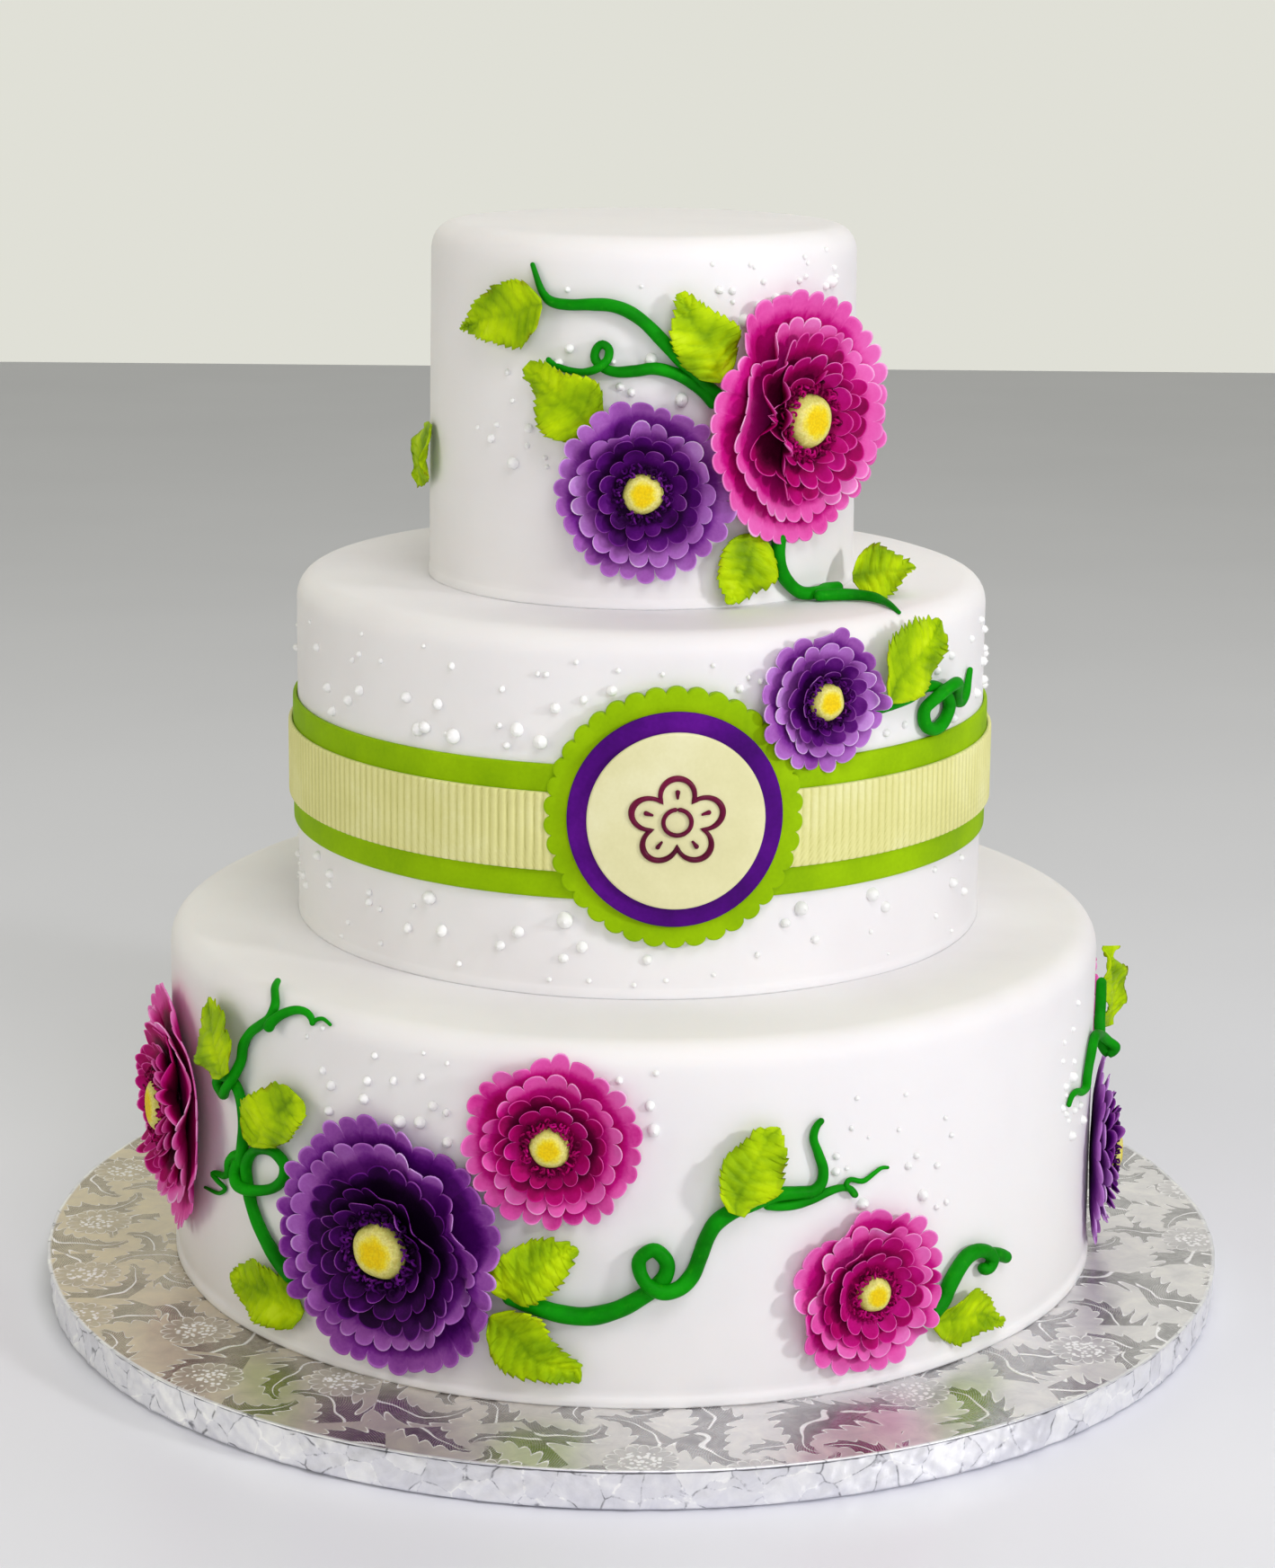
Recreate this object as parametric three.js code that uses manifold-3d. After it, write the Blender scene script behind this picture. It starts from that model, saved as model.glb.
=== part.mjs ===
// A three-tier celebration cake on a foil cake drum, in millimetres, +Z up.
// White iced tiers carry sugar flowers, serrated leaves, curling vines and piped
// pearls; the middle tier wears a ribbon and a scalloped plaque on its front (-Y).
import * as THREE from "three";
import { mergeVertices } from "three/addons/utils/BufferGeometryUtils.js";
import Module from "manifold-3d";

const wasm = await Module();
wasm.setup();

// ---- Driving dimensions -------------------------------------------------
const drum = { radius: 228.6, thick: 15, edge: 1.2, sides: 56 };
const tierHeight = 131;
const tierEdge = 9.5; // rounding of each tier's top edge
const edgeSteps = 3;
const tiers = {
  bottom: { x: 0, y: 0, z: 15, foot: 179, top: 178.4, sides: 54 },
  middle: { x: 1.5, y: 6, z: 146, foot: 131.4, top: 130.8, sides: 46 },
  top: { x: 1.5, y: -1, z: 277, foot: 80, top: 78.6, sides: 38 },
};
const gap = 0.3; // between neighbouring pieces
const ribbon = { low: 36.3, high: 84.3, thick: 1.5 };
const ribs = { low: 46.4, high: 74.6, thick: 1.5 };
const plaque = { angle: 5.4, height: 66.5, scallops: 38, depth: 2.3 };
const discs = {
  scalloped: { radius: 46, from: 0.45, to: 4.1 },
  ring: { radius: 37.3, from: 4.5, to: 6.2 },
  face: { radius: 31.5, from: 6.6, to: 8.2 },
};
const piping = { from: 8.55, rise: 1.1, width: 2.2, petal: 15.5, notch: 8.5 };
const leafThick = 1;

// ---- Small tools --------------------------------------------------------
const radians = (degrees) => (degrees * Math.PI) / 180;
const turn = 2 * Math.PI;

// A repeatable stream of numbers from 0 to 1.
function seeded(seed) {
  let state = seed * 7919 + 17;
  return () => {
    state = (state * 1103515245 + 12345) % 2147483648;
    return state / 2147483648;
  };
}

// Where a point lies on a tier's icing: an angle round from the front, a reach up
// the wall and on over the rounded edge to the top face, and a lift off the icing.
function onIcing(tier, angle, reach, lift = 0) {
  const straight = tierHeight - tierEdge;
  const bend = (tierEdge * Math.PI) / 2;
  let radius = tier.foot + ((tier.top - tier.foot) * reach) / tierHeight + lift;
  let height = reach;
  if (reach > straight && reach <= straight + bend) {
    const swing = (reach - straight) / tierEdge;
    radius = tier.top - tierEdge + (tierEdge + lift) * Math.cos(swing);
    height = straight + (tierEdge + lift) * Math.sin(swing);
  } else if (reach > straight + bend) {
    radius = tier.top - tierEdge - (reach - straight - bend);
    height = tierHeight + lift;
  }
  const a = radians(angle);
  return new THREE.Vector3(
    tier.x + radius * Math.sin(a),
    tier.y - radius * Math.cos(a),
    tier.z + height,
  );
}

// Gathers points and triangles and closes them into one geometry.
class Shell {
  constructor() {
    this.points = [];
    this.faces = [];
  }
  point(p) {
    this.points.push(p);
    return this.points.length - 1;
  }
  ring(list) {
    return list.map((p) => this.point(p));
  }
  face(a, b, c, flip = false) {
    this.faces.push(flip ? [a, c, b] : [a, b, c]);
  }
  // Stitches an inner closed ring to an outer one of any count, facing up.
  join(inner, outer, flip = false) {
    const m = inner.length;
    const n = outer.length;
    let i = 0;
    let j = 0;
    while (i < m || j < n) {
      if (j >= n || (i < m && (i + 1) / m < (j + 1) / n)) {
        this.face(inner[i % m], outer[j % n], inner[(i + 1) % m], flip);
        i += 1;
      } else {
        this.face(inner[i % m], outer[j % n], outer[(j + 1) % n], flip);
        j += 1;
      }
    }
  }
  fan(centre, ring, flip = false) {
    ring.forEach((p, i) => {
      this.face(centre, p, ring[(i + 1) % ring.length], flip);
    });
  }
  geometry() {
    const made = new THREE.BufferGeometry().setFromPoints(this.points);
    made.setIndex(this.faces.flat());
    return made;
  }
}

function toSolid(geometry) {
  const bare = geometry.clone();
  bare.deleteAttribute("normal");
  bare.deleteAttribute("uv");
  const merged = mergeVertices(bare, 1e-4);
  return new wasm.Manifold(
    new wasm.Mesh({
      numProp: 3,
      vertProperties: merged.attributes.position.array,
      triVerts: new Uint32Array(merged.index.array),
    }),
  );
}

function toGeometry(solid) {
  const { vertProperties, triVerts, numProp } = solid.getMesh();
  const made = new THREE.BufferGeometry();
  const data = new THREE.InterleavedBuffer(vertProperties, numProp);
  made.setAttribute("position", new THREE.InterleavedBufferAttribute(data, 3, 0));
  made.setIndex(new THREE.BufferAttribute(triVerts, 1));
  return made.toNonIndexed();
}

const joined = (parts) => toGeometry(wasm.Manifold.union(parts.map(toSolid)));

// ---- Colours ------------------------------------------------------------
const colours = {
  foil: ["#c9ccca", 0.25, 0.9],
  icing: ["#e9e6e4", 0.6, 0],
  lime: ["#a6b70f", 0.6, 0],
  cream: ["#e6dec0", 0.6, 0],
  violet: ["#7b3fa8", 0.6, 0],
  burgundy: ["#7a1230", 0.5, 0],
  pink: ["#c8378f", 0.6, 0],
  yellow: ["#e3cf1b", 0.7, 0],
  leaf: ["#8fb80c", 0.6, 0],
  vine: ["#0a7a16", 0.55, 0],
};
const cake = new THREE.Group();

function addNode(name, geometry, colour) {
  const [tint, roughness, metalness] = colours[colour];
  const material = new THREE.MeshStandardMaterial({ color: tint, roughness, metalness });
  const mesh = new THREE.Mesh(geometry, material);
  mesh.name = name;
  cake.add(mesh);
}

// ---- Drum ---------------------------------------------------------------
{
  const { radius, thick, edge, sides } = drum;
  const profile = [
    new THREE.Vector2(0, 0),
    new THREE.Vector2(radius - edge, 0),
    new THREE.Vector2(radius, edge),
    new THREE.Vector2(radius, thick - edge),
    new THREE.Vector2(radius - edge, thick),
    new THREE.Vector2(0, thick),
  ];
  addNode("board", new THREE.LatheGeometry(profile, sides).rotateX(Math.PI / 2), "foil");
}

// ---- Tiers with their piped pearls --------------------------------------
// Profiles run up the outside; the lathe turns about the tier's own axis.
function tierBody(tier) {
  const profile = [new THREE.Vector2(0, 0), new THREE.Vector2(tier.foot, 0)];
  for (let step = 0; step <= edgeSteps; step += 1) {
    const swing = (step / edgeSteps) * (Math.PI / 2);
    profile.push(
      new THREE.Vector2(
        tier.top - tierEdge + tierEdge * Math.cos(swing),
        tierHeight - tierEdge + tierEdge * Math.sin(swing),
      ),
    );
  }
  profile.push(new THREE.Vector2(0, tierHeight));
  const body = new THREE.LatheGeometry(profile, tier.sides);
  return body.rotateX(Math.PI / 2).translate(tier.x, tier.y, tier.z);
}

// A pearl is a five-sided dome with a small peak, its root sunk in the icing.
function pearl(tier, angle, reach, radius) {
  const shell = new Shell();
  const sides = 5;
  const around = (share, lift) =>
    Array.from({ length: sides }, (_, i) => {
      const a = (i / sides) * turn;
      const across = (share * radius * Math.cos(a)) / radians(tier.foot);
      return onIcing(tier, angle + across, reach + share * radius * Math.sin(a), lift);
    });
  const root = shell.ring(around(1, -0.8));
  const waist = shell.ring(around(0.8, radius * 0.75));
  const foot = shell.point(onIcing(tier, angle, reach, -0.8));
  const peak = shell.point(onIcing(tier, angle, reach, radius * 1.5));
  shell.fan(foot, root, true);
  shell.join(waist, root);
  shell.fan(peak, waist);
  return shell.geometry();
}

// Pearls drift across a patch of icing: largest near its heart, smaller further out.
const drifts = [
  // tier, heart's angle and height, spread in degrees and mm, count, seed
  ["top", 30, 101, 26, 11, 6, 3],
  ["top", -40, 50, 16, 18, 6, 5],
  ["middle", -36, 99, 24, 8, 5, 7],
  ["middle", -36, 19, 26, 9, 5, 11],
  ["middle", 84, 98, 12, 9, 3, 13],
  ["middle", 52, 22, 28, 8, 5, 17],
  ["bottom", -26, 109, 10, 9, 7, 19],
  ["bottom", 1.5, 108, 2.5, 12, 4, 23],
  ["bottom", 29, 86, 12, 14, 7, 29],
  ["bottom", 66, 76, 5, 14, 4, 31],
];
const pearlRadius = [2.4, 1.5];
const keepOff = []; // spots that a pearl keeps clear of, filled by later pieces

function pearlsOn(name) {
  const tier = tiers[name];
  const laid = [];
  drifts
    .filter((drift) => drift[0] === name)
    .forEach(([, angle, height, wide, tall, count, seed]) => {
      const next = seeded(seed);
      for (let i = 0, tries = 0; i < count && tries < 200; tries += 1) {
        const away = Math.sqrt((i + 0.3) / count) * (0.85 + 0.3 * next());
        const way = turn * next();
        const size = pearlRadius[0] + (pearlRadius[1] - pearlRadius[0]) * (i / count);
        const a = angle + away * wide * Math.cos(way);
        const h = height + away * tall * Math.sin(way);
        const at = onIcing(tier, a, h);
        const clear = keepOff.every((spot) => spot.centre.distanceTo(at) > spot.reach + size);
        const apart = laid.every((p) => p.at.distanceTo(at) > p.size + size + 1);
        if (clear && apart && h < tierHeight - tierEdge - 4) {
          laid.push({ at, size, solid: pearl(tier, a, h, size) });
          i += 1;
        }
      }
    });
  return laid.map((p) => p.solid);
}

// ---- Flowers ------------------------------------------------------------
// Each is a stack of cupped, scalloped sugar discs on one core, with a domed eye.
// tier, angle, height, radius, depth, colour
const flowers = {
  flower_top_pink: ["top", 41.4, 66.4, 44.9, 14.5, "pink"],
  flower_top_violet: ["top", 0.2, 42.6, 32.7, 10.5, "violet"],
  flower_top_back: ["top", 196, 62, 40, 13, "violet"],
  flower_middle: ["middle", 28.3, 105.5, 25.9, 9.5, "violet"],
  flower_left: ["bottom", -70.7, 68.1, 46.4, 14, "pink"],
  flower_front: ["bottom", -27.7, 51.9, 46.8, 13, "violet"],
  flower_centre: ["bottom", -8.7, 96.1, 31.5, 9.5, "pink"],
  flower_low: ["bottom", 27.1, 37.2, 31.3, 10, "pink"],
  flower_right: ["bottom", 83, 39.5, 36, 13, "violet"],
  flower_back_pink: ["bottom", 104, 84, 31, 11, "pink"],
  flower_back: ["bottom", 190, 60, 44, 13, "violet"],
};
const layerSizes = [1, 0.82, 0.63, 0.46];
const layerPetals = [20, 16, 12, 10];
const rimLifts = [0.52, 0.66, 0.8, 0.92];
const coreLifts = [0.2, 0.38, 0.56, 0.7];
const coreShare = 0.2;

// A point of a flower: r mm from its axis at an angle, lifted off the icing.
function flowerPoint(tier, angle, height, r, a, lift) {
  const centre = onIcing(tier, angle, height, lift);
  const across = r * Math.cos(a);
  centre.x += across * Math.cos(radians(angle));
  centre.y += across * Math.sin(radians(angle));
  centre.z += r * Math.sin(a);
  return centre;
}

function flowerDiscs([tierName, angle, height, radius, depth], seed) {
  const tier = tiers[tierName];
  const shell = new Shell();
  const next = seeded(seed);
  const corners = 8;
  const core = radius * coreShare;
  const perPetal = radius > 44 ? 3 : 2;
  const coreRing = (lift) =>
    Array.from({ length: corners }, (_, i) =>
      flowerPoint(tier, angle, height, core, (i / corners) * turn, lift),
    );
  const foot = shell.ring(coreRing(gap));
  shell.fan(shell.point(flowerPoint(tier, angle, height, 0, 0, gap)), foot, true);
  let below = foot;
  layerSizes.forEach((share, layer) => {
    const phase = next() * turn;
    const count = layerPetals[layer] * perPetal;
    const rim = shell.ring(
      Array.from({ length: count }, (_, i) => {
        const notch = i % perPetal === 0;
        const a = (i / count) * turn;
        const wave = 0.055 * depth * Math.sin(3 * a + phase) * Math.cos(2 * a);
        const lift = depth * (rimLifts[layer] - (notch ? 0.05 : 0)) + wave;
        return flowerPoint(tier, angle, height, radius * share * (notch ? 0.92 : 1), a, lift);
      }),
    );
    const above = shell.ring(coreRing(depth * coreLifts[layer]));
    shell.join(below, rim, true);
    shell.join(above, rim);
    below = above;
  });
  const summit = depth * coreLifts[coreLifts.length - 1];
  shell.fan(shell.point(flowerPoint(tier, angle, height, 0, 0, summit)), below);
  return shell.geometry();
}

function flowerEye([tierName, angle, height, radius, depth]) {
  const tier = tiers[tierName];
  const shell = new Shell();
  const corners = 8;
  const low = depth * coreLifts[coreLifts.length - 1] + gap;
  const at = (share, lift) =>
    Array.from({ length: corners }, (_, i) =>
      flowerPoint(tier, angle, height, radius * share, (i / corners) * turn, lift),
    );
  const base = shell.ring(at(0.17, low));
  const side = shell.ring(at(0.16, low + (depth - low) * 0.6));
  shell.fan(shell.point(flowerPoint(tier, angle, height, 0, 0, low)), base, true);
  shell.join(side, base);
  shell.fan(shell.point(flowerPoint(tier, angle, height, 0, 0, depth)), side);
  return shell.geometry();
}

Object.entries(flowers).forEach(([name, flower], i) => {
  const [tierName, angle, height, radius, , colour] = flower;
  addNode(name, flowerDiscs(flower, i + 2), colour);
  addNode(name.replace("flower", "eye"), flowerEye(flower), "yellow");
  const centre = onIcing(tiers[tierName], angle, height);
  keepOff.push({ centre, reach: radius });
});

// ---- Leaves -------------------------------------------------------------
// Thin serrated blades laid along the icing.
// tier, base angle and height, tip angle and height, base and tip lift, cant
const leaves = {
  leaf_top_left: ["top", -25, 107.5, -52, 96, 5, 3.5],
  leaf_top_mid: ["top", 19, 82, 9.2, 113, 6.4, 4.4],
  leaf_top_low: ["top", -11.5, 64, -28.5, 86.5, 5, 6],
  leaf_top_foot: ["top", 30, 26, 21.5, 2, 3.4, 3.4],
  leaf_top_edge: ["top", -72, 57, -84, 33, 2, 4],
  leaf_middle: ["middle", 39.2, 104, 51, 128, 7.2, 5.4],
  leaf_left_high: ["bottom", -52, 97, -58, 120, 7.5, 3],
  leaf_left_mid: ["bottom", -45, 73, -41, 101, 6.4, 4],
  leaf_left_low: ["bottom", -40, 16.1, -52.5, 24.1, 2.8, 3.8],
  leaf_centre_up: ["bottom", -15, 44.5, -5.7, 60, 8, 4.6],
  leaf_centre_low: ["bottom", -15, 34, -5.4, 10.7, 6.6, 3],
  leaf_centre_high: ["bottom", 11, 73, 15.6, 102, 7.6, 3],
  leaf_right_low: ["bottom", 36.2, 20.2, 48, 10.2, 2.2, 2.8],
  leaf_edge: ["bottom", 86.5, 86, 85, 120, 5.4, 5.4, 3],
  leaf_back_high: ["bottom", 172, 84, 166, 116, 6.2, 4.4],
  leaf_back_low: ["bottom", 208, 40, 218, 22, 4, 3],
};
// How far the left and the right edge stand off the leaf's axis, base to tip in
// ten equal steps. A minus sign is an edge that has crossed the axis.
const plainLeaf = [
  [1.5, 7.5, 10.5, 12, 12, 11, 9.5, 7.3, 5, 2.6, 0.3],
  [1.5, 7.2, 10, 11.5, 12, 11.4, 10, 7.8, 5.2, 2.6, 0.3],
];
const leafEdges = {
  leaf_top_left: [
    [1, 7.9, 10.4, 13, 11.8, 9.6, 7.6, 5.9, 3.9, 1.4, 0.2],
    [2, 9.5, 11.3, 11.4, 11.2, 9.6, 8.2, 6.1, 3.2, 2, 0.4],
  ],
  leaf_top_mid: [
    [1.7, 7.1, 8.8, 10.8, 10.8, 11, 10.8, 9.2, 6.3, 4.2, 2.4],
    [1.5, 6.5, 9.5, 11.2, 11.9, 11.4, 9, 6.6, 4.6, 2.8, 1],
  ],
  leaf_top_low: [
    [3, 9, 11, 12.8, 12.8, 11.2, 9.2, 7, 5.4, 4.6, 2.5],
    [3, 8.6, 12, 13.8, 13.4, 11.5, 9, 7.5, 6.8, 5, 2],
  ],
  leaf_top_foot: [
    [2, 7.1, 9.2, 10.8, 11.6, 11.6, 11, 9.2, 7, 3.9, 0.5],
    [2, 7.6, 9.8, 10.8, 10.8, 10.8, 9.8, 8.8, 6.8, 3.8, 0.5],
  ],
  leaf_middle: [
    [2, 7, 11.5, 14.4, 13.9, 12.7, 11.4, 8.6, 5.1, 2, -2],
    [4, 8, 11.5, 13, 14, 15, 14.8, 12.2, 8.8, 6.4, 4],
  ],
  leaf_left_high: [
    [1, 7.7, 10, 12, 13.5, 14, 11.4, 9.2, 5.6, 1, -1],
    [4, 8.3, 12, 14, 15, 15, 14.5, 13, 10.5, 7, 3],
  ],
  leaf_left_mid: [
    [7.5, 9.2, 13.2, 16.6, 17, 15.3, 13.2, 12.1, 9.8, 7.9, 2],
    [-5.5, -1, 3.4, 5.2, 7.9, 9.8, 11.1, 11.4, 11.8, 11.2, 7],
  ],
  leaf_left_low: [
    [1, 7.6, 10, 10.8, 11.6, 12.6, 12.4, 12.4, 9, 8.4, 6],
    [2, 5, 8.5, 11, 12.8, 13, 12.6, 9.4, 5.4, 1.2, -3.4],
  ],
  leaf_centre_up: [
    [1.5, 6.9, 9, 9.6, 9.9, 9.6, 9.7, 9.2, 8.2, 5, 0.5],
    [2.5, 8, 9.8, 10.4, 10.6, 10.4, 9.4, 7.8, 5.8, 3.1, 1],
  ],
  leaf_centre_low: [
    [1, 7.5, 10.8, 12, 10.2, 6.8, 5.6, 5.8, 5.7, 5.4, 0.5],
    [1.5, 8, 10.8, 12.6, 13.7, 13.2, 11, 7.7, 5.3, 2.4, 0.8],
  ],
  leaf_centre_high: [
    [3, 8, 10.4, 11.9, 12.6, 12.2, 10.8, 9.8, 8.7, 7.2, -0.4],
    [3, 4.6, 6.8, 9.4, 10.6, 9.7, 8.3, 7.1, 6.1, 4, 1.6],
  ],
  leaf_right_low: [
    [1, 5, 8, 11.2, 12.6, 11.2, 9.6, 7.3, 4.5, 1.6, 0.4],
    [2, 6.6, 7.8, 9, 10, 6.2, 3.9, 3.1, 2.4, 2.2, 0.5],
  ],
};
const leafStations = [0.1, 0.3, 0.5, 0.7, 0.86];

// Reads a list of evenly spaced values at a share of its length.
function readAt(values, share) {
  const place = share * (values.length - 1);
  const i = Math.min(Math.floor(place), values.length - 2);
  return values[i] + (values[i + 1] - values[i]) * (place - i);
}

// Draws a blade over any map from (across, along, lift) to a point.
function blade(length, [left, right], baseLift, tipLift, cant, place) {
  const shell = new Shell();
  const skins = [0, leafThick].map((thick) => {
    const liftAt = (t) =>
      baseLift + (tipLift - baseLift) * t + 1.2 * Math.sin(Math.PI * t) + thick;
    const rows = [];
    leafStations.forEach((t) => {
      const ruffle = 0.7 * Math.sin(5 * t + 1) - cant;
      const [near, far] = [-readAt(left, t), readAt(right, t)];
      rows.push([
        shell.point(place(near, t * length, liftAt(t) + ruffle)),
        shell.point(place((near + far) / 2, t * length, liftAt(t) - 0.5)),
        shell.point(place(far, t * length, liftAt(t) - ruffle)),
      ]);
    });
    const middle = (t) => (readAt(right, t) - readAt(left, t)) / 2;
    const base = shell.point(place(middle(0), 0, liftAt(0)));
    const tip = shell.point(place(middle(1), length, liftAt(1)));
    return { base, tip, rows };
  });
  skins.forEach(({ base, tip, rows }, side) => {
    const flip = side === 0;
    const last = rows[rows.length - 1];
    [0, 1].forEach((k) => {
      shell.face(base, rows[0][k + 1], rows[0][k], flip);
      shell.face(tip, last[k], last[k + 1], flip);
      for (let i = 0; i + 1 < rows.length; i += 1) {
        shell.face(rows[i][k], rows[i][k + 1], rows[i + 1][k + 1], flip);
        shell.face(rows[i][k], rows[i + 1][k + 1], rows[i + 1][k], flip);
      }
    });
  });
  const [lower, upper] = skins.map(({ base, tip, rows }) => [
    base,
    ...rows.map((row) => row[2]),
    tip,
    ...rows.map((row) => row[0]).reverse(),
  ]);
  lower.forEach((p, i) => {
    const j = (i + 1) % lower.length;
    shell.face(p, lower[j], upper[j]);
    shell.face(p, upper[j], upper[i]);
  });
  return shell.geometry();
}

function wallLeaf(leaf, edges) {
  const [tierName, angle, reach, tipAngle, tipReach, baseLift, tipLift, cant = 0] = leaf;
  const tier = tiers[tierName];
  const perDegree = radians(tier.foot);
  const run = (tipAngle - angle) * perDegree;
  const rise = tipReach - reach;
  const length = Math.hypot(run, rise);
  const [ux, uy] = [run / length, rise / length];
  return blade(length, edges, baseLift, tipLift, cant, (across, along, lift) => {
    const a = angle + (along * ux + across * uy) / perDegree;
    return onIcing(tier, a, reach + along * uy - across * ux, lift);
  });
}

Object.entries(leaves).forEach(([name, leaf]) => {
  addNode(name, wallLeaf(leaf, leafEdges[name] ?? plainLeaf), "leaf");
  const [tierName, angle, reach, tipAngle, tipReach] = leaf;
  const centre = onIcing(tiers[tierName], (angle + tipAngle) / 2, (reach + tipReach) / 2);
  keepOff.push({ centre, reach: 15 });
});

// One leaf leans on its side on the middle tier's top, at the foot of the vine.
{
  const base = new THREE.Vector3(78.5, -49, 283.6);
  const along = new THREE.Vector3(0.97, 0.2, 0.12).normalize();
  const across = new THREE.Vector3(-0.08, 0.72, 0.69).normalize();
  const out = new THREE.Vector3().crossVectors(along, across).normalize();
  const lean = (a, l, lift) =>
    base.clone().addScaledVector(across, -a).addScaledVector(along, l).addScaledVector(out, lift);
  addNode("leaf_ledge", blade(24, plainLeaf, 0, 0, 0, lean), "leaf");
}

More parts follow.
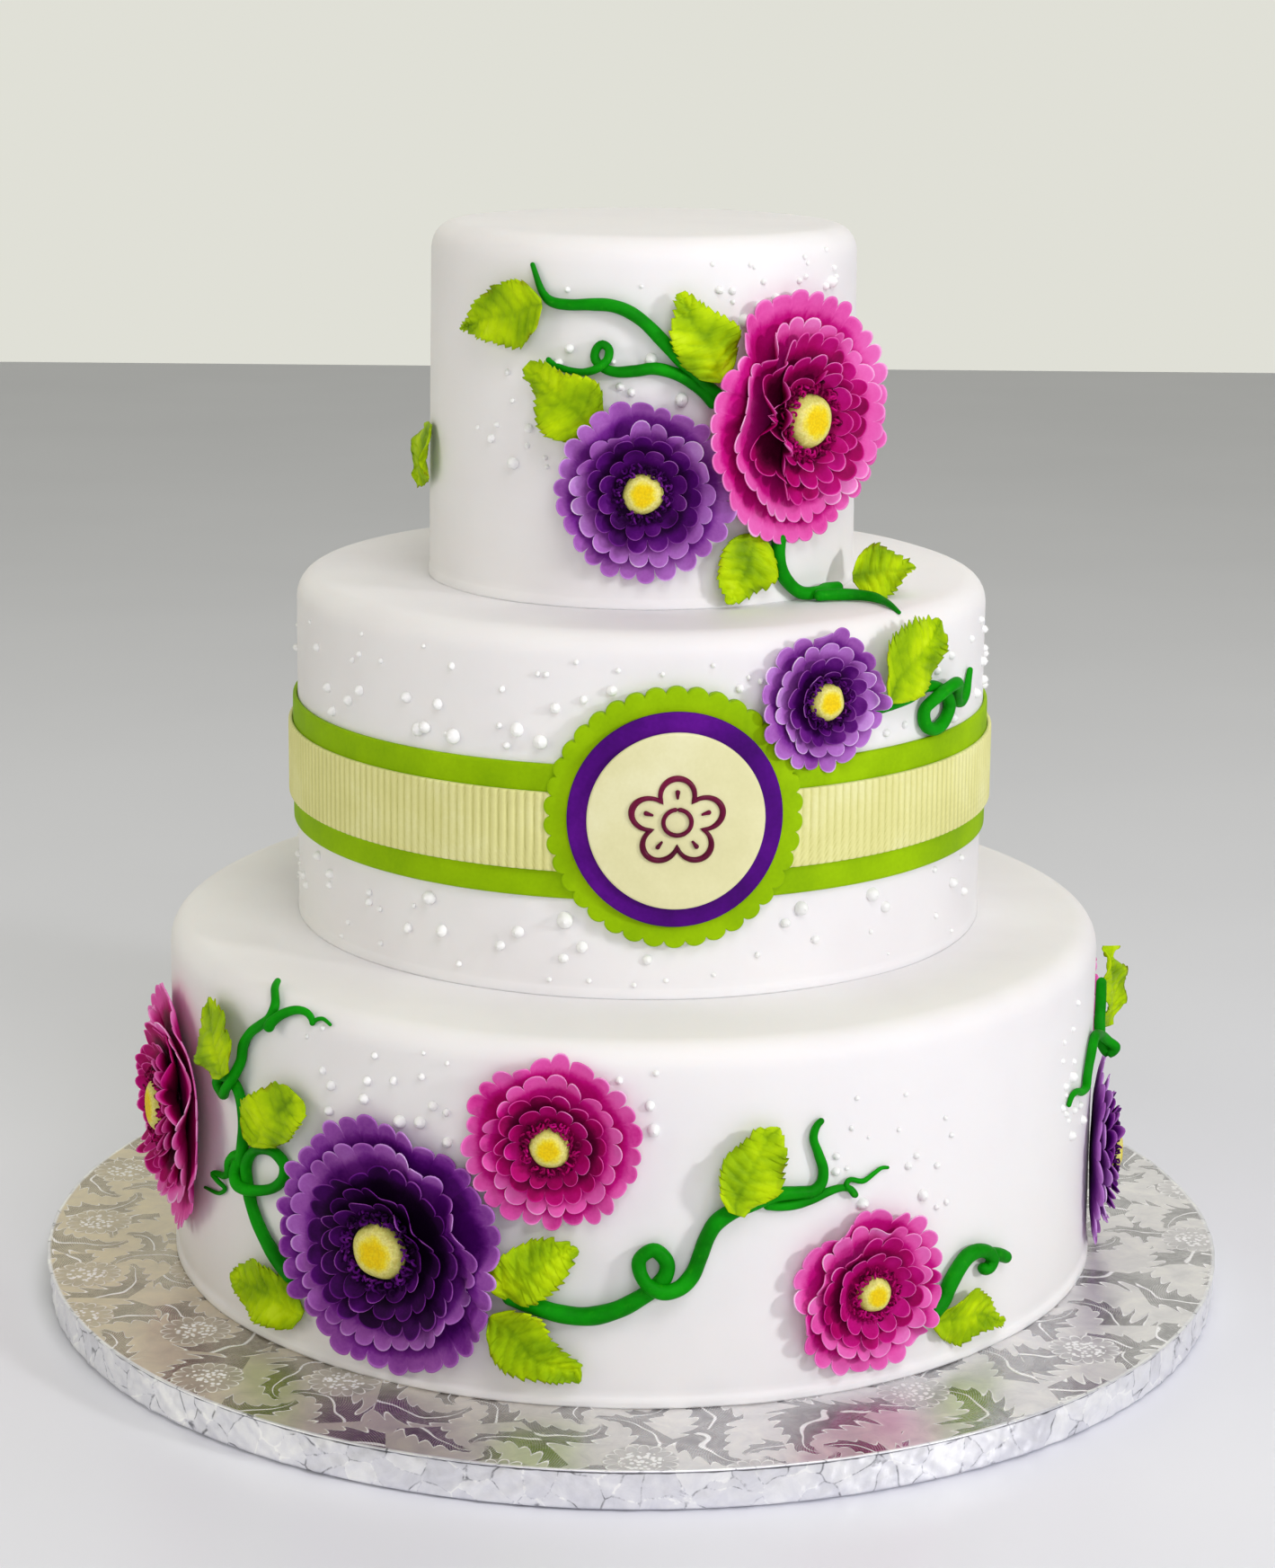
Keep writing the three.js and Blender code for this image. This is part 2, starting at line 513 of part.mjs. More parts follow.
// ---- Vines --------------------------------------------------------------
// A vine is one or more ropes. Each has a tier, its spots, and the radii it takes in
// equal steps from its first spot to its last. A spot is an angle, a reach and how
// far the rope stands off its rest on the icing.
const vines = {
  vine_top: [
    ["top", [[19.5, 75.5], [16, 79.5], [12, 85.2], [6, 93.8], [0, 102.3], [-4, 106], [-8, 107.8],
      [-13, 108], [-19, 107.6], [-23.5, 108.4], [-26, 111], [-29.6, 121.5]],
      [2.7, 2.5, 2.4, 2.3, 2.1, 1.9, 0.8]],
    ["top", [[18.5, 72.5], [14.5, 78.5], [9, 83.6], [3, 86.1], [-2, 85.2], [-7, 84.8], [-10, 86.2],
      [-12.1, 89.3], [-11.7, 92.6], [-10.3, 94.2], [-8.7, 92.8], [-8.6, 89.6, 1.5],
      [-10.3, 86.8, 2.9], [-12.8, 85, 1.8], [-15.8, 84.2], [-20, 85], [-23.6, 86.8],
      [-25, 88.6]], [2.4, 2.2, 2, 1.6, 1.5, 1.5, 1.3, 1]],
  ],
  vine_middle: [
    ["middle", [[37, 98.5], [42, 99.8], [46, 101], [50, 103.7], [53, 102.6], [55.8, 99],
      [57, 94], [55.5, 89.3], [52.5, 87.3], [50, 90.2], [49.8, 95.5], [51.4, 100.2, 3],
      [54.3, 103, 4.2], [57.2, 102.6, 3], [58.9, 98.4, 1], [60.2, 94.3], [62.2, 93.1],
      [64.2, 95.6], [65.4, 100], [66.6, 104.2]],
      [1.8, 1.9, 2.1, 2.4, 2.4, 2.4, 2.3, 2.2, 1.9, 1.5, 1]],
  ],
  vine_left: [
    ["bottom", [[-48.9, 137.2], [-47.2, 132.6], [-45.1, 127.2], [-45.3, 123.3],
      [-46.8, 120], [-48.9, 115.2], [-50.3, 109.5], [-50.9, 103],
      [-51.4, 97, 2.5], [-52.6, 91.5, 3.4], [-54, 88, 1.5], [-55.4, 87.6], [-56.3, 90],
      [-55.6, 93.2], [-53.6, 94.4], [-51.8, 92.5], [-50.8, 88], [-50.4, 81], [-50.5, 74],
      [-51, 67], [-51.3, 62.5]], [1.2, 1.6, 1.8, 1.9, 1.9, 1.9, 2, 2, 2.1, 2.2, 2.2]],
    ["bottom", [[-51.2, 66, 0.5], [-51.6, 60.5, 1.5], [-50.4, 57.8, 3.2], [-48.8, 57.3, 3.4],
      [-47, 58, 1.5], [-44.9, 60.5], [-43.2, 65.5], [-42.9, 70.5], [-44.4, 73.8],
      [-46.8, 73.6], [-48.9, 70], [-50, 64.5], [-49.8, 58], [-49.2, 52], [-48.2, 46.5],
      [-46.7, 41], [-45, 36.2], [-43.6, 33]],
      [2.2, 2.2, 2.1, 2, 2, 2, 2.1, 2.2, 2.4, 2.6, 2.6]],
    ["bottom", [[-45.4, 118.3, 1.6], [-44.9, 121.8, 1.4], [-43.5, 125.2, 0.3], [-41.6, 127.8],
      [-40, 128], [-38.9, 126.4], [-38.6, 124.6]], [1.6, 1.8, 1.7, 1.5, 1.2, 1]],
    ["bottom", [[-38.8, 125.3], [-38.4, 126.7], [-37.6, 127.6], [-36.1, 126.2]],
      [0.9, 0.8, 0.6]],
    ["bottom", [[-51.2, 67.4], [-52.9, 65.6], [-54.2, 61.6], [-54.4, 57.6], [-55.5, 55.2],
      [-57, 54.4], [-58.3, 53.2, 0.4], [-56.6, 52.2, 1.2], [-55.6, 50.2], [-57, 46.8],
      [-61.6, 44.4]],
      [1.7, 1.6, 1.5, 1.4, 1.2, 1.1, 0.9, 0.8, 0.6]],
  ],
  vine_centre: [
    ["bottom", [[-14, 41.5], [-11.5, 38.8], [-8, 35.6], [-4.5, 35], [-1.5, 37.6],
      [0.8, 41.6], [2.7, 46], [3.75, 50.5], [3.8, 55], [2.4, 59.2], [0.9, 55.8],
      [1, 51, 0.8], [1.9, 47.4, 3.2], [3.4, 45.3, 3.6], [5.2, 45.9, 1.4], [6.6, 50],
      [7.4, 56.5], [8.1, 63], [9.1, 68.5], [10.9, 72.4], [13.3, 75], [16, 77.2], [18.4, 77],
      [20.2, 76.9], [21.1, 79.4], [21.3, 84], [20.7, 90], [20.1, 96], [20.5, 100],
      [21.3, 102.2]], [3.3, 3.2, 3, 2.5, 2.5, 2.8, 2.9, 2.7, 2, 1.7, 1.1]],
    ["bottom", [[14.4, 73.6], [16.2, 72.6], [18.2, 72.7], [20.2, 73.9], [22, 75.6],
      [23.6, 76.3], [24.7, 75.4], [25.3, 73.4], [25.5, 71.8]],
      [1.7, 1.8, 1.75, 1.5, 1.3, 1.2, 1.1]],
    ["bottom", [[25.2, 72.6, 1.2], [24.6, 75, 1.6], [24.1, 77.4, 1], [24.7, 78.6],
      [26.4, 77.3], [27.8, 79.4], [28.8, 80.8], [29.8, 80.4]],
      [0.9, 1, 0.95, 0.8, 0.6]],
  ],
  vine_right: [
    ["bottom", [[37.5, 27], [38.2, 31], [39.5, 36.3], [41.1, 40.3], [42.9, 40.9],
      [44.6, 38.8], [45.5, 35.6], [45, 32.8], [44.1, 33], [43.8, 35]],
      [3, 2.9, 2.8, 2.7, 2.6, 2.4, 2.2]],
    ["bottom", [[44.4, 38.2], [46, 37], [47.4, 35], [48.6, 32.8]], [2.4, 2.5, 2.4]],
  ],
  vine_edge: [
    ["bottom", [[82, 110], [81.7, 99], [80.9, 91], [80.7, 85.5, 0.8], [80.6, 81.3, 3.8],
      [80.3, 84, 6.6], [79.7, 87, 3.8], [77.5, 91.5, 1.2], [74.5, 93.5], [71.9, 88.5],
      [70.5, 82.5], [70.2, 78.4], [68.3, 78], [66, 80.3], [64.4, 80], [63.4, 76.8]],
      [2.1, 2.1, 2, 1.9, 1.9, 1.7, 1.3, 0.9]],
  ],
  vine_back: [
    ["bottom", [[196, 92], [190, 104], [180, 112], [168, 108], [160, 96], [150, 94],
      [142, 104], [134, 100]], [2.6, 2.4, 2.2, 1.8, 1.2]],
    ["bottom", [[190, 104], [194, 114], [202, 118], [206, 110]], [1.8, 1.7, 1]],
  ],
  vine_top_back: [
    ["top", [[-105, 124], [-106, 112], [-112, 100], [-124, 90], [-138, 90], [-152, 80]],
      [1.2, 1.8, 2.1, 2.3, 2.4]],
  ],
};
const longStep = 12; // a gap between spots that takes one more ring of a rope

// Sweeps a five-sided rope of changing radius through spots on the icing.
function rope(spots, radii) {
  const last = spots.length - 1;
  const placed = spots.map(([tierName, angle, reach, rise = 0], i) => {
    const lift = gap + readAt(radii, i / last) + rise;
    return [lift, lift + 1].map((height) => onIcing(tiers[tierName], angle, reach, height));
  });
  const [line, upper] = [0, 1].map(
    (k) => new THREE.CatmullRomCurve3(placed.map((pair) => pair[k]), false, "centripetal"),
  );
  const shares = placed.flatMap(([at], i) => {
    const long = i < last && at.distanceTo(placed[i + 1][0]) > longStep;
    return long ? [i / last, (i + 0.5) / last] : [i / last];
  });
  const sides = 5;
  const shell = new Shell();
  const rings = shares.map((share) => {
    const at = line.getPoint(share);
    const ahead = line.getTangent(share);
    const out = upper.getPoint(share).sub(at).normalize();
    const side = new THREE.Vector3().crossVectors(ahead, out).normalize();
    const lift = new THREE.Vector3().crossVectors(side, ahead).normalize();
    const radius = readAt(radii, share);
    return shell.ring(
      Array.from({ length: sides }, (_, k) => {
        const a = ((k + 0.5) / sides) * turn - Math.PI / 2;
        const p = at.clone().addScaledVector(side, -radius * Math.cos(a));
        return p.addScaledVector(lift, radius * Math.sin(a));
      }),
    );
  });
  const ends = [line.getPoint(0), line.getPoint(1)].map((p) => shell.point(p));
  shell.fan(ends[0], rings[0], true);
  shell.fan(ends[1], rings[rings.length - 1]);
  for (let i = 0; i + 1 < rings.length; i += 1) {
    for (let k = 0; k < sides; k += 1) {
      const next = (k + 1) % sides;
      shell.face(rings[i][k], rings[i][next], rings[i + 1][next]);
      shell.face(rings[i][k], rings[i + 1][next], rings[i + 1][k]);
    }
  }
  return shell.geometry();
}

Object.entries(vines).forEach(([name, ropes]) => {
  const onTier = ropes.map(([tierName, spots, radii]) =>
    rope(spots.map((spot) => [tierName, ...spot]), radii),
  );
  addNode(name, joined(onTier), "vine");
  ropes.forEach(([tierName, spots]) => {
    spots.forEach(([angle, reach]) => {
      keepOff.push({ centre: onIcing(tiers[tierName], angle, reach), reach: 6 });
    });
  });
});

// One vine runs down the top tier's wall and out over the middle tier's top.
const stem = rope(
  [["top", 36.8, 26], ["top", 36.4, 18], ["top", 38, 10.5], ["middle", 40, 168.5, 0.8],
    ["middle", 45.5, 167.5], ["middle", 50, 169.5], ["middle", 54.5, 167.5]],
  [2.5, 2.5, 2.4, 2.3],
);
const runner = rope(
  [["middle", 42, 164.5], ["middle", 46, 161.5], ["middle", 49.5, 156],
    ["middle", 50.6, 150], ["middle", 49.6, 144], ["middle", 48, 138],
    ["middle", 46.8, 131.5]],
  [2.2, 2.2, 2, 1.7, 1.3, 0.7],
);
addNode("vine_ledge", joined([stem, runner]), "vine");

// ---- Plaque -------------------------------------------------------------
// Flat outlines are bent round the middle tier's wall.
function onPlaque(across, up, lift) {
  const tier = tiers.middle;
  return onIcing(tier, plaque.angle + across / radians(tier.foot), plaque.height + up, lift);
}

function circleOutline(radius, count) {
  return Array.from({ length: count }, (_, i) => {
    const a = (i / count) * turn;
    return [radius * Math.cos(a), radius * Math.sin(a)];
  });
}

function scallopOutline(radius) {
  const perScallop = 3;
  const count = plaque.scallops * perScallop;
  return Array.from({ length: count }, (_, i) => {
    const a = (i / count) * turn;
    const r = radius - (i % perScallop === 0 ? plaque.depth : 0);
    return [r * Math.cos(a), r * Math.sin(a)];
  });
}

function bentDisc(outline, from, to) {
  const shell = new Shell();
  const layers = [from, to].map((lift) => {
    const lay = (list) => shell.ring(list.map(([x, y]) => onPlaque(x, y, lift)));
    return {
      centre: shell.point(onPlaque(0, 0, lift)),
      inner: lay(circleOutline(12, 8)),
      outer: lay(circleOutline(26, 16)),
      rim: lay(outline),
    };
  });
  layers.forEach(({ centre, inner, outer, rim }, side) => {
    const flip = side === 0;
    shell.fan(centre, inner, flip);
    shell.join(inner, outer, flip);
    shell.join(outer, rim, flip);
  });
  shell.join(layers[1].rim, layers[0].rim);
  return shell.geometry();
}

const { scalloped, ring, face } = discs;
const scallops = scallopOutline(scalloped.radius);
addNode("plaque_scalloped", bentDisc(scallops, scalloped.from, scalloped.to), "lime");
addNode("plaque_ring", bentDisc(circleOutline(ring.radius, 40), ring.from, ring.to), "violet");
addNode("plaque_face", bentDisc(circleOutline(face.radius, 36), face.from, face.to), "cream");

// The piping is one closed line of five rounded petals with a deep notch between.
{
  const shell = new Shell();
  const count = 45;
  const { from, rise, width, petal, notch } = piping;
  const middle = (a) => notch + (petal - notch) * Math.abs(Math.cos(2.5 * a)) ** 0.7;
  const rings = [
    [0.5, 0],
    [0, rise],
    [-0.5, 0],
  ].map(([side, lift]) =>
    shell.ring(
      Array.from({ length: count }, (_, i) => {
        const a = (i / count) * turn;
        const r = middle(a) + side * width;
        return onPlaque(r * Math.sin(a), r * Math.cos(a), from + lift);
      }).reverse(),
    ),
  );
  shell.join(rings[1], rings[0]);
  shell.join(rings[2], rings[1]);
  shell.join(rings[2], rings[0], true);
  addNode("plaque_piping", shell.geometry(), "burgundy");
}

// ---- Ribbon round the middle tier ---------------------------------------
// Two flat rings, cut away round the plaque with a fine gap.
function band(low, high, inside, thick) {
  const tier = tiers.middle;
  const inner = tier.foot + inside;
  const profile = [
    new THREE.Vector2(inner, low),
    new THREE.Vector2(inner + thick, low),
    new THREE.Vector2(inner + thick, high),
    new THREE.Vector2(inner, high),
    new THREE.Vector2(inner, low),
  ];
  const body = new THREE.LatheGeometry(profile, tier.sides);
  return toSolid(body.rotateX(Math.PI / 2).translate(tier.x, tier.y, tier.z));
}

function plaqueCutter() {
  const shell = new Shell();
  const outline = scallopOutline(scalloped.radius + 0.6);
  const [back, front] = [-12, 18].map((lift) => ({
    centre: shell.point(onPlaque(0, 0, lift)),
    rim: shell.ring(outline.map(([x, y]) => onPlaque(x, y, lift))),
  }));
  shell.fan(back.centre, back.rim, true);
  shell.fan(front.centre, front.rim);
  shell.join(front.rim, back.rim);
  return toSolid(shell.geometry());
}

{
  const cutter = plaqueCutter();
  const green = band(ribbon.low, ribbon.high, gap, ribbon.thick).subtract(cutter);
  const ribbed = band(ribs.low, ribs.high, ribbon.thick + 2 * gap, ribs.thick).subtract(cutter);
  addNode("ribbon", toGeometry(green), "lime");
  addNode("ribbon_ribs", toGeometry(ribbed), "cream");
}

Object.entries(tiers).forEach(([name, tier]) => {
  addNode("tier_" + name, joined([tierBody(tier), ...pearlsOn(name)]), "icing");
});

export default cake;
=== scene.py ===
"""Looks of the three-tier cake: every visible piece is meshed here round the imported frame."""

import math

import bmesh
import bpy
import numpy as np
from mathutils import Matrix, Vector


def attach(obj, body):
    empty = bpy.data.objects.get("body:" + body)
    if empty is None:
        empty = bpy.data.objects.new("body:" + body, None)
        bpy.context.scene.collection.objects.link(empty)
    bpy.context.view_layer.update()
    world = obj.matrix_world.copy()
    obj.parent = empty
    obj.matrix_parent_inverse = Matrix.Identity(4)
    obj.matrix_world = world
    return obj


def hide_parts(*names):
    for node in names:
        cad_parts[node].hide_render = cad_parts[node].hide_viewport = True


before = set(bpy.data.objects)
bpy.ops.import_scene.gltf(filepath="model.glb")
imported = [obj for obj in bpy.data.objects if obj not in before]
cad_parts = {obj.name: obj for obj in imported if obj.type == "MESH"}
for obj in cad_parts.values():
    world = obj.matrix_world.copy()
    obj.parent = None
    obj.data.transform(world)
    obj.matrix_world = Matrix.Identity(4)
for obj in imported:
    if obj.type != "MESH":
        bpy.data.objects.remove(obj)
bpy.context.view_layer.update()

# ---- Dimensions in millimetres, the same as the solids' --------------------
TIER_HEIGHT = 131.0
TIER_EDGE = 9.5
TIERS = {  # x, y, z, radius at the foot and at the top
    "bottom": (0.0, 0.0, 15.0, 179.0, 178.4),
    "middle": (1.5, 6.0, 146.0, 131.4, 130.8),
    "top": (1.5, -1.0, 277.0, 80.0, 78.6),
}
GAP = 0.3
RIBBON = (36.3, 84.3, 1.5)  # low, high, thickness
RIBS = (46.4, 74.6, 1.5)
PLAQUE_ANGLE, PLAQUE_HEIGHT = 5.4, 66.5
STRAIGHT = TIER_HEIGHT - TIER_EDGE  # how far up the wall runs before it rounds over
BEND = TIER_EDGE * math.pi / 2  # how far the rounded edge runs
TURN = 2 * math.pi


# ---- Geometry tools ---------------------------------------------------------
def on_icing(tier, angle, reach, lift=0.0):
    """Points on a tier: degrees round from the front, mm up the wall and over the top, mm off."""
    x, y, z, foot, top = TIERS[tier]
    angle, reach, lift = np.broadcast_arrays(
        np.radians(angle), np.asarray(reach, float), np.asarray(lift, float)
    )
    swing = np.clip((reach - STRAIGHT) / TIER_EDGE, 0, math.pi / 2)
    wall = reach <= STRAIGHT
    bowed = TIER_EDGE + lift
    radius = np.where(
        wall,
        foot + (top - foot) * reach / TIER_HEIGHT + lift,
        top - TIER_EDGE + bowed * np.cos(swing) - np.maximum(reach - STRAIGHT - BEND, 0),
    )
    height = np.where(wall, reach, STRAIGHT + bowed * np.sin(swing))
    return np.stack(
        [x + radius * np.sin(angle), y - radius * np.cos(angle), z + height], axis=-1
    )


def per_degree(tier):
    """Millimetres along a tier's foot for each degree round it."""
    return math.radians(TIERS[tier][3])


def all_round(count):
    """So many angles in radians, evenly spaced over a whole turn."""
    return np.linspace(0, TURN, count, endpoint=False)


def unit(vectors):
    return vectors / np.linalg.norm(vectors, axis=-1, keepdims=True)


class Form:
    """Gathers points in mm, faces and per-point values, and makes one mesh piece of them."""

    def __init__(self):
        self.points, self.faces, self.values, self.count = [], [], {}, 0

    def add(self, points, faces, **values):
        points = np.asarray(points, float).reshape(-1, 3)
        self.points.append(points)
        for block in faces:
            self.faces.append(np.asarray(block, int) + self.count)
        for key, value in values.items():
            row = np.broadcast_to(np.asarray(value, float).reshape(-1), (len(points),))
            self.values.setdefault(key, []).append(row)
        self.count += len(points)

    def skin(self, rings, start, end, flip=False, **values):
        """A closed skin over rings of points, gathered to one point at either end."""
        rows, columns = rings.shape[:2]
        count = rows * columns
        first = np.arange(columns)
        self.add(np.vstack([rings.reshape(-1, 3), start, end]),
                 [strip(rows, columns, flip=flip), fan(count, first, not flip),
                  fan(count + 1, count - columns + first, flip)], **values)

    def piece(self, name, material, slot, *nodes):
        points = np.concatenate(self.points) * 0.001
        mesh = bpy.data.meshes.new(name)
        sizes = np.concatenate([np.full(len(b), b.shape[1]) for b in self.faces])
        corners = np.concatenate([b.reshape(-1) for b in self.faces])
        mesh.vertices.add(len(points))
        mesh.vertices.foreach_set("co", points.reshape(-1).astype(np.float32))
        mesh.loops.add(len(corners))
        mesh.loops.foreach_set("vertex_index", corners.astype(np.int32))
        mesh.polygons.add(len(sizes))
        starts = np.concatenate([[0], np.cumsum(sizes)[:-1]])
        mesh.polygons.foreach_set("loop_start", starts.astype(np.int32))
        mesh.polygons.foreach_set("use_smooth", np.ones(len(sizes), bool))
        for key, rows in self.values.items():
            layer = mesh.attributes.new(key, "FLOAT", "POINT")
            layer.data.foreach_set("value", np.concatenate(rows).astype(np.float32))
        mesh.update(calc_edges=True)
        mesh.validate()
        shell = bmesh.new()
        shell.from_mesh(mesh)
        bmesh.ops.recalc_face_normals(shell, faces=shell.faces)
        if shell.calc_volume(signed=True) < 0:
            bmesh.ops.reverse_faces(shell, faces=shell.faces)
        shell.to_mesh(mesh)
        shell.free()
        mesh.materials.append(material)
        made = bpy.data.objects.new(name, mesh)
        bpy.context.scene.collection.objects.link(made)
        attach(made, "root")
        if nodes:
            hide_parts(*nodes)


def strip(rows, columns, closed=True, flip=False):
    """Quads over a grid of points, row by row; closed joins the last column to the first."""
    i, j = np.meshgrid(np.arange(rows - 1), np.arange(columns if closed else columns - 1),
                       indexing="ij")
    k = (j + 1) % columns
    quads = np.stack([i * columns + j, i * columns + k, (i + 1) * columns + k,
                      (i + 1) * columns + j], axis=-1).reshape(-1, 4)
    return quads[:, ::-1] if flip else quads


def fan(centre, ring, flip=False):
    """Triangles from one point to a closed ring of points."""
    ring = np.asarray(ring)
    faces = np.stack([np.full(len(ring), centre), ring, np.roll(ring, -1)], axis=-1)
    return faces[:, ::-1] if flip else faces


def smooth(low, high, value):
    """A soft step from 0 at low to 1 at high."""
    t = np.clip((value - low) / (high - low), 0, 1)
    return t * t * (3 - 2 * t)


def waves(rng, around, counts, size=1.0):
    """A closed wavy line over angles in radians, built of whole numbers of waves."""
    total = np.zeros_like(around)
    for count in counts:
        total += rng.uniform(0.4, 1) * np.sin(count * around + rng.uniform(0, TURN))
    return total * size / math.sqrt(len(counts))


# ---- Material tools ---------------------------------------------------------
def rgb(code):
    """A six-digit sRGB colour as linear values."""
    parts = [int(code[i:i + 2], 16) / 255 for i in (1, 3, 5)]
    return tuple(p / 12.92 if p <= 0.04045 else ((p + 0.055) / 1.055) ** 2.4 for p in parts) + (1,)


class Finish:
    """A procedural material: nodes are added by kind, and sockets or numbers go to inputs."""

    def __init__(self, name, **settings):
        self.material = bpy.data.materials.new(name)
        self.material.use_nodes = True
        self.tree = self.material.node_tree
        self.shader = self.tree.nodes["Principled BSDF"]
        for key, value in settings.items():
            self.shader.inputs[key.replace("_", " ")].default_value = value
        self.object = self.add("TexCoord").outputs["Object"]

    def put(self, socket, value):
        if isinstance(value, bpy.types.NodeSocket):
            self.tree.links.new(value, socket)
        else:
            socket.default_value = value

    def add(self, kind, inputs=(), **settings):
        made = self.tree.nodes.new("ShaderNode" + kind)
        for key, value in settings.items():
            setattr(made, key, value)
        for key, value in dict(inputs).items():
            self.put(made.inputs[key], value)
        return made

    def noise(self, scale, detail=3.0, roughness=0.55, vector=None, distortion=0.0):
        return self.add("TexNoise", {
            "Vector": vector or self.object, "Scale": scale, "Detail": detail,
            "Roughness": roughness, "Distortion": distortion,
        }).outputs["Fac"]

    def value(self, name):
        return self.add("Attribute", attribute_name=name).outputs["Fac"]

    def maths(self, operation, a, b=0.0, c=0.0, clamp=False):
        return self.add("Math", {0: a, 1: b, 2: c}, operation=operation,
                        use_clamp=clamp).outputs[0]

    def spread(self, value, low, high, to_low=0.0, to_high=1.0):
        return self.add("MapRange", {"Value": value, "From Min": low, "From Max": high,
                                     "To Min": to_low, "To Max": to_high}).outputs[0]

    def step(self, value, low, high):
        """A soft step from 0 at low to 1 at high."""
        return self.add("MapRange", {"Value": value, "From Min": low, "From Max": high},
                        interpolation_type="SMOOTHSTEP").outputs[0]

    def line(self, value, half):
        """1 where a value is nought, falling to 0 at half."""
        return self.step(self.maths("ABSOLUTE", value), half, 0.0)

    def stamp(self, spacing, shift, scatter):
        """Distance in mm and angle round the nearest of many flat stamps, each turned its way."""
        flat = self.add("VectorMath", {0: self.object, 1: shift}, operation="ADD").outputs[0]
        cells = self.add("TexVoronoi", {"Vector": flat, "Scale": 1 / spacing,
                                        "Randomness": scatter}, voronoi_dimensions="2D")
        off = self.add("VectorMath", {0: flat, 1: cells.outputs["Position"]},
                       operation="SUBTRACT").outputs[0]
        parts = self.add("SeparateXYZ", {0: off})
        x, y = parts.outputs["X"], parts.outputs["Y"]
        squares = self.maths("ADD", self.maths("MULTIPLY", x, x), self.maths("MULTIPLY", y, y))
        distance = self.maths("MULTIPLY", self.maths("SQRT", squares), 1000.0)
        turned = self.add("SeparateXYZ", {0: cells.outputs["Color"]}).outputs["X"]
        angle = self.maths("ADD", self.maths("ARCTAN2", y, x),
                           self.maths("MULTIPLY", turned, TURN))
        return distance, angle

    def ramp(self, factor, stops):
        made = self.add("ValToRGB", {"Fac": factor})
        elements = made.color_ramp.elements
        while len(elements) < len(stops):
            elements.new(0.5)
        for element, (place, code) in zip(elements, stops):
            element.position = place
            element.color = rgb(code)
        return made.outputs["Color"]

    def mix(self, factor, a, b, blend="MIX"):
        made = self.add("Mix", data_type="RGBA", blend_type=blend)
        for key, value in (("Factor_Float", factor), ("A_Color", a), ("B_Color", b)):
            socket = next(s for s in made.inputs if s.identifier == key)
            self.put(socket, rgb(value) if isinstance(value, str) else value)
        return next(s for s in made.outputs if s.identifier == "Result_Color")

    def bump(self, height, distance, strength=1.0):
        """Bump in millimetres; a later call lies over an earlier one."""
        inputs = {"Height": height, "Distance": distance * 0.001, "Strength": strength}
        if getattr(self, "bumped", None):
            inputs["Normal"] = self.bumped
        self.bumped = self.add("Bump", inputs).outputs["Normal"]
        self.put(self.shader.inputs["Normal"], self.bumped)

    def finish(self, colour, roughness=None):
        self.put(self.shader.inputs["Base Color"], colour)
        if roughness is not None:
            self.put(self.shader.inputs["Roughness"], roughness)
        return self.material


# ---- Materials --------------------------------------------------------------
def icing_finish(name):
    made = Finish(name, Subsurface_Weight=0.25, Subsurface_Scale=0.004, IOR=1.42)
    made.shader.inputs["Subsurface Radius"].default_value = (1.0, 0.8, 0.7)
    cloudy = made.noise(9, 3)
    fine = made.noise(260, 4)
    colour = made.ramp(cloudy, [(0.3, "#e6e3e6"), (0.52, "#edebed"), (0.75, "#f0eeee")])
    made.bump(made.noise(45, 3), 0.35, 0.3)
    made.bump(fine, 0.06, 0.35)
    return made.finish(colour, made.spread(fine, 0.3, 0.7, 0.5, 0.64))


def sugar_finish(name, stops):
    """Gum paste: a tone from deep to pale runs through the stops."""
    made = Finish(name, IOR=1.4, Specular_IOR_Level=0.09)
    cloudy = made.noise(70, 4)
    grain = made.noise(900, 3)
    tone = made.maths("ADD", made.value("tone"), made.spread(cloudy, 0.3, 0.7, -0.05, 0.05))
    tone = made.maths("ADD", tone, made.spread(grain, 0.3, 0.7, -0.02, 0.02))
    colour = made.ramp(tone, stops)
    made.bump(made.noise(320, 3), 0.12, 0.5)
    made.bump(grain, 0.05, 0.4)
    return made.finish(colour, made.spread(cloudy, 0.3, 0.7, 0.52, 0.68))


def eye_finish(name):
    made = Finish(name, IOR=1.45, Specular_IOR_Level=0.2)
    grain = made.add("TexVoronoi", {"Vector": made.object, "Scale": 1300.0}).outputs["Distance"]
    heart = made.value("heart")
    tone = made.maths("ADD", heart, made.spread(made.noise(500, 3), 0.35, 0.65, -0.15, 0.15))
    colour = made.ramp(tone, [(0.0, "#d2d070"), (0.2, "#e6e08a"), (0.5, "#eade54"),
                              (0.75, "#ecd41c"), (1.0, "#ecca00")])
    # painted shade: darker in the pits between the grains
    pits = made.spread(grain, 0.35, 0.75, 0.0, 0.7)
    colour = made.mix(made.maths("MULTIPLY", pits, 0.45), colour, "#c09a10")
    made.bump(grain, 0.3, -0.6)
    return made.finish(colour, 0.62)


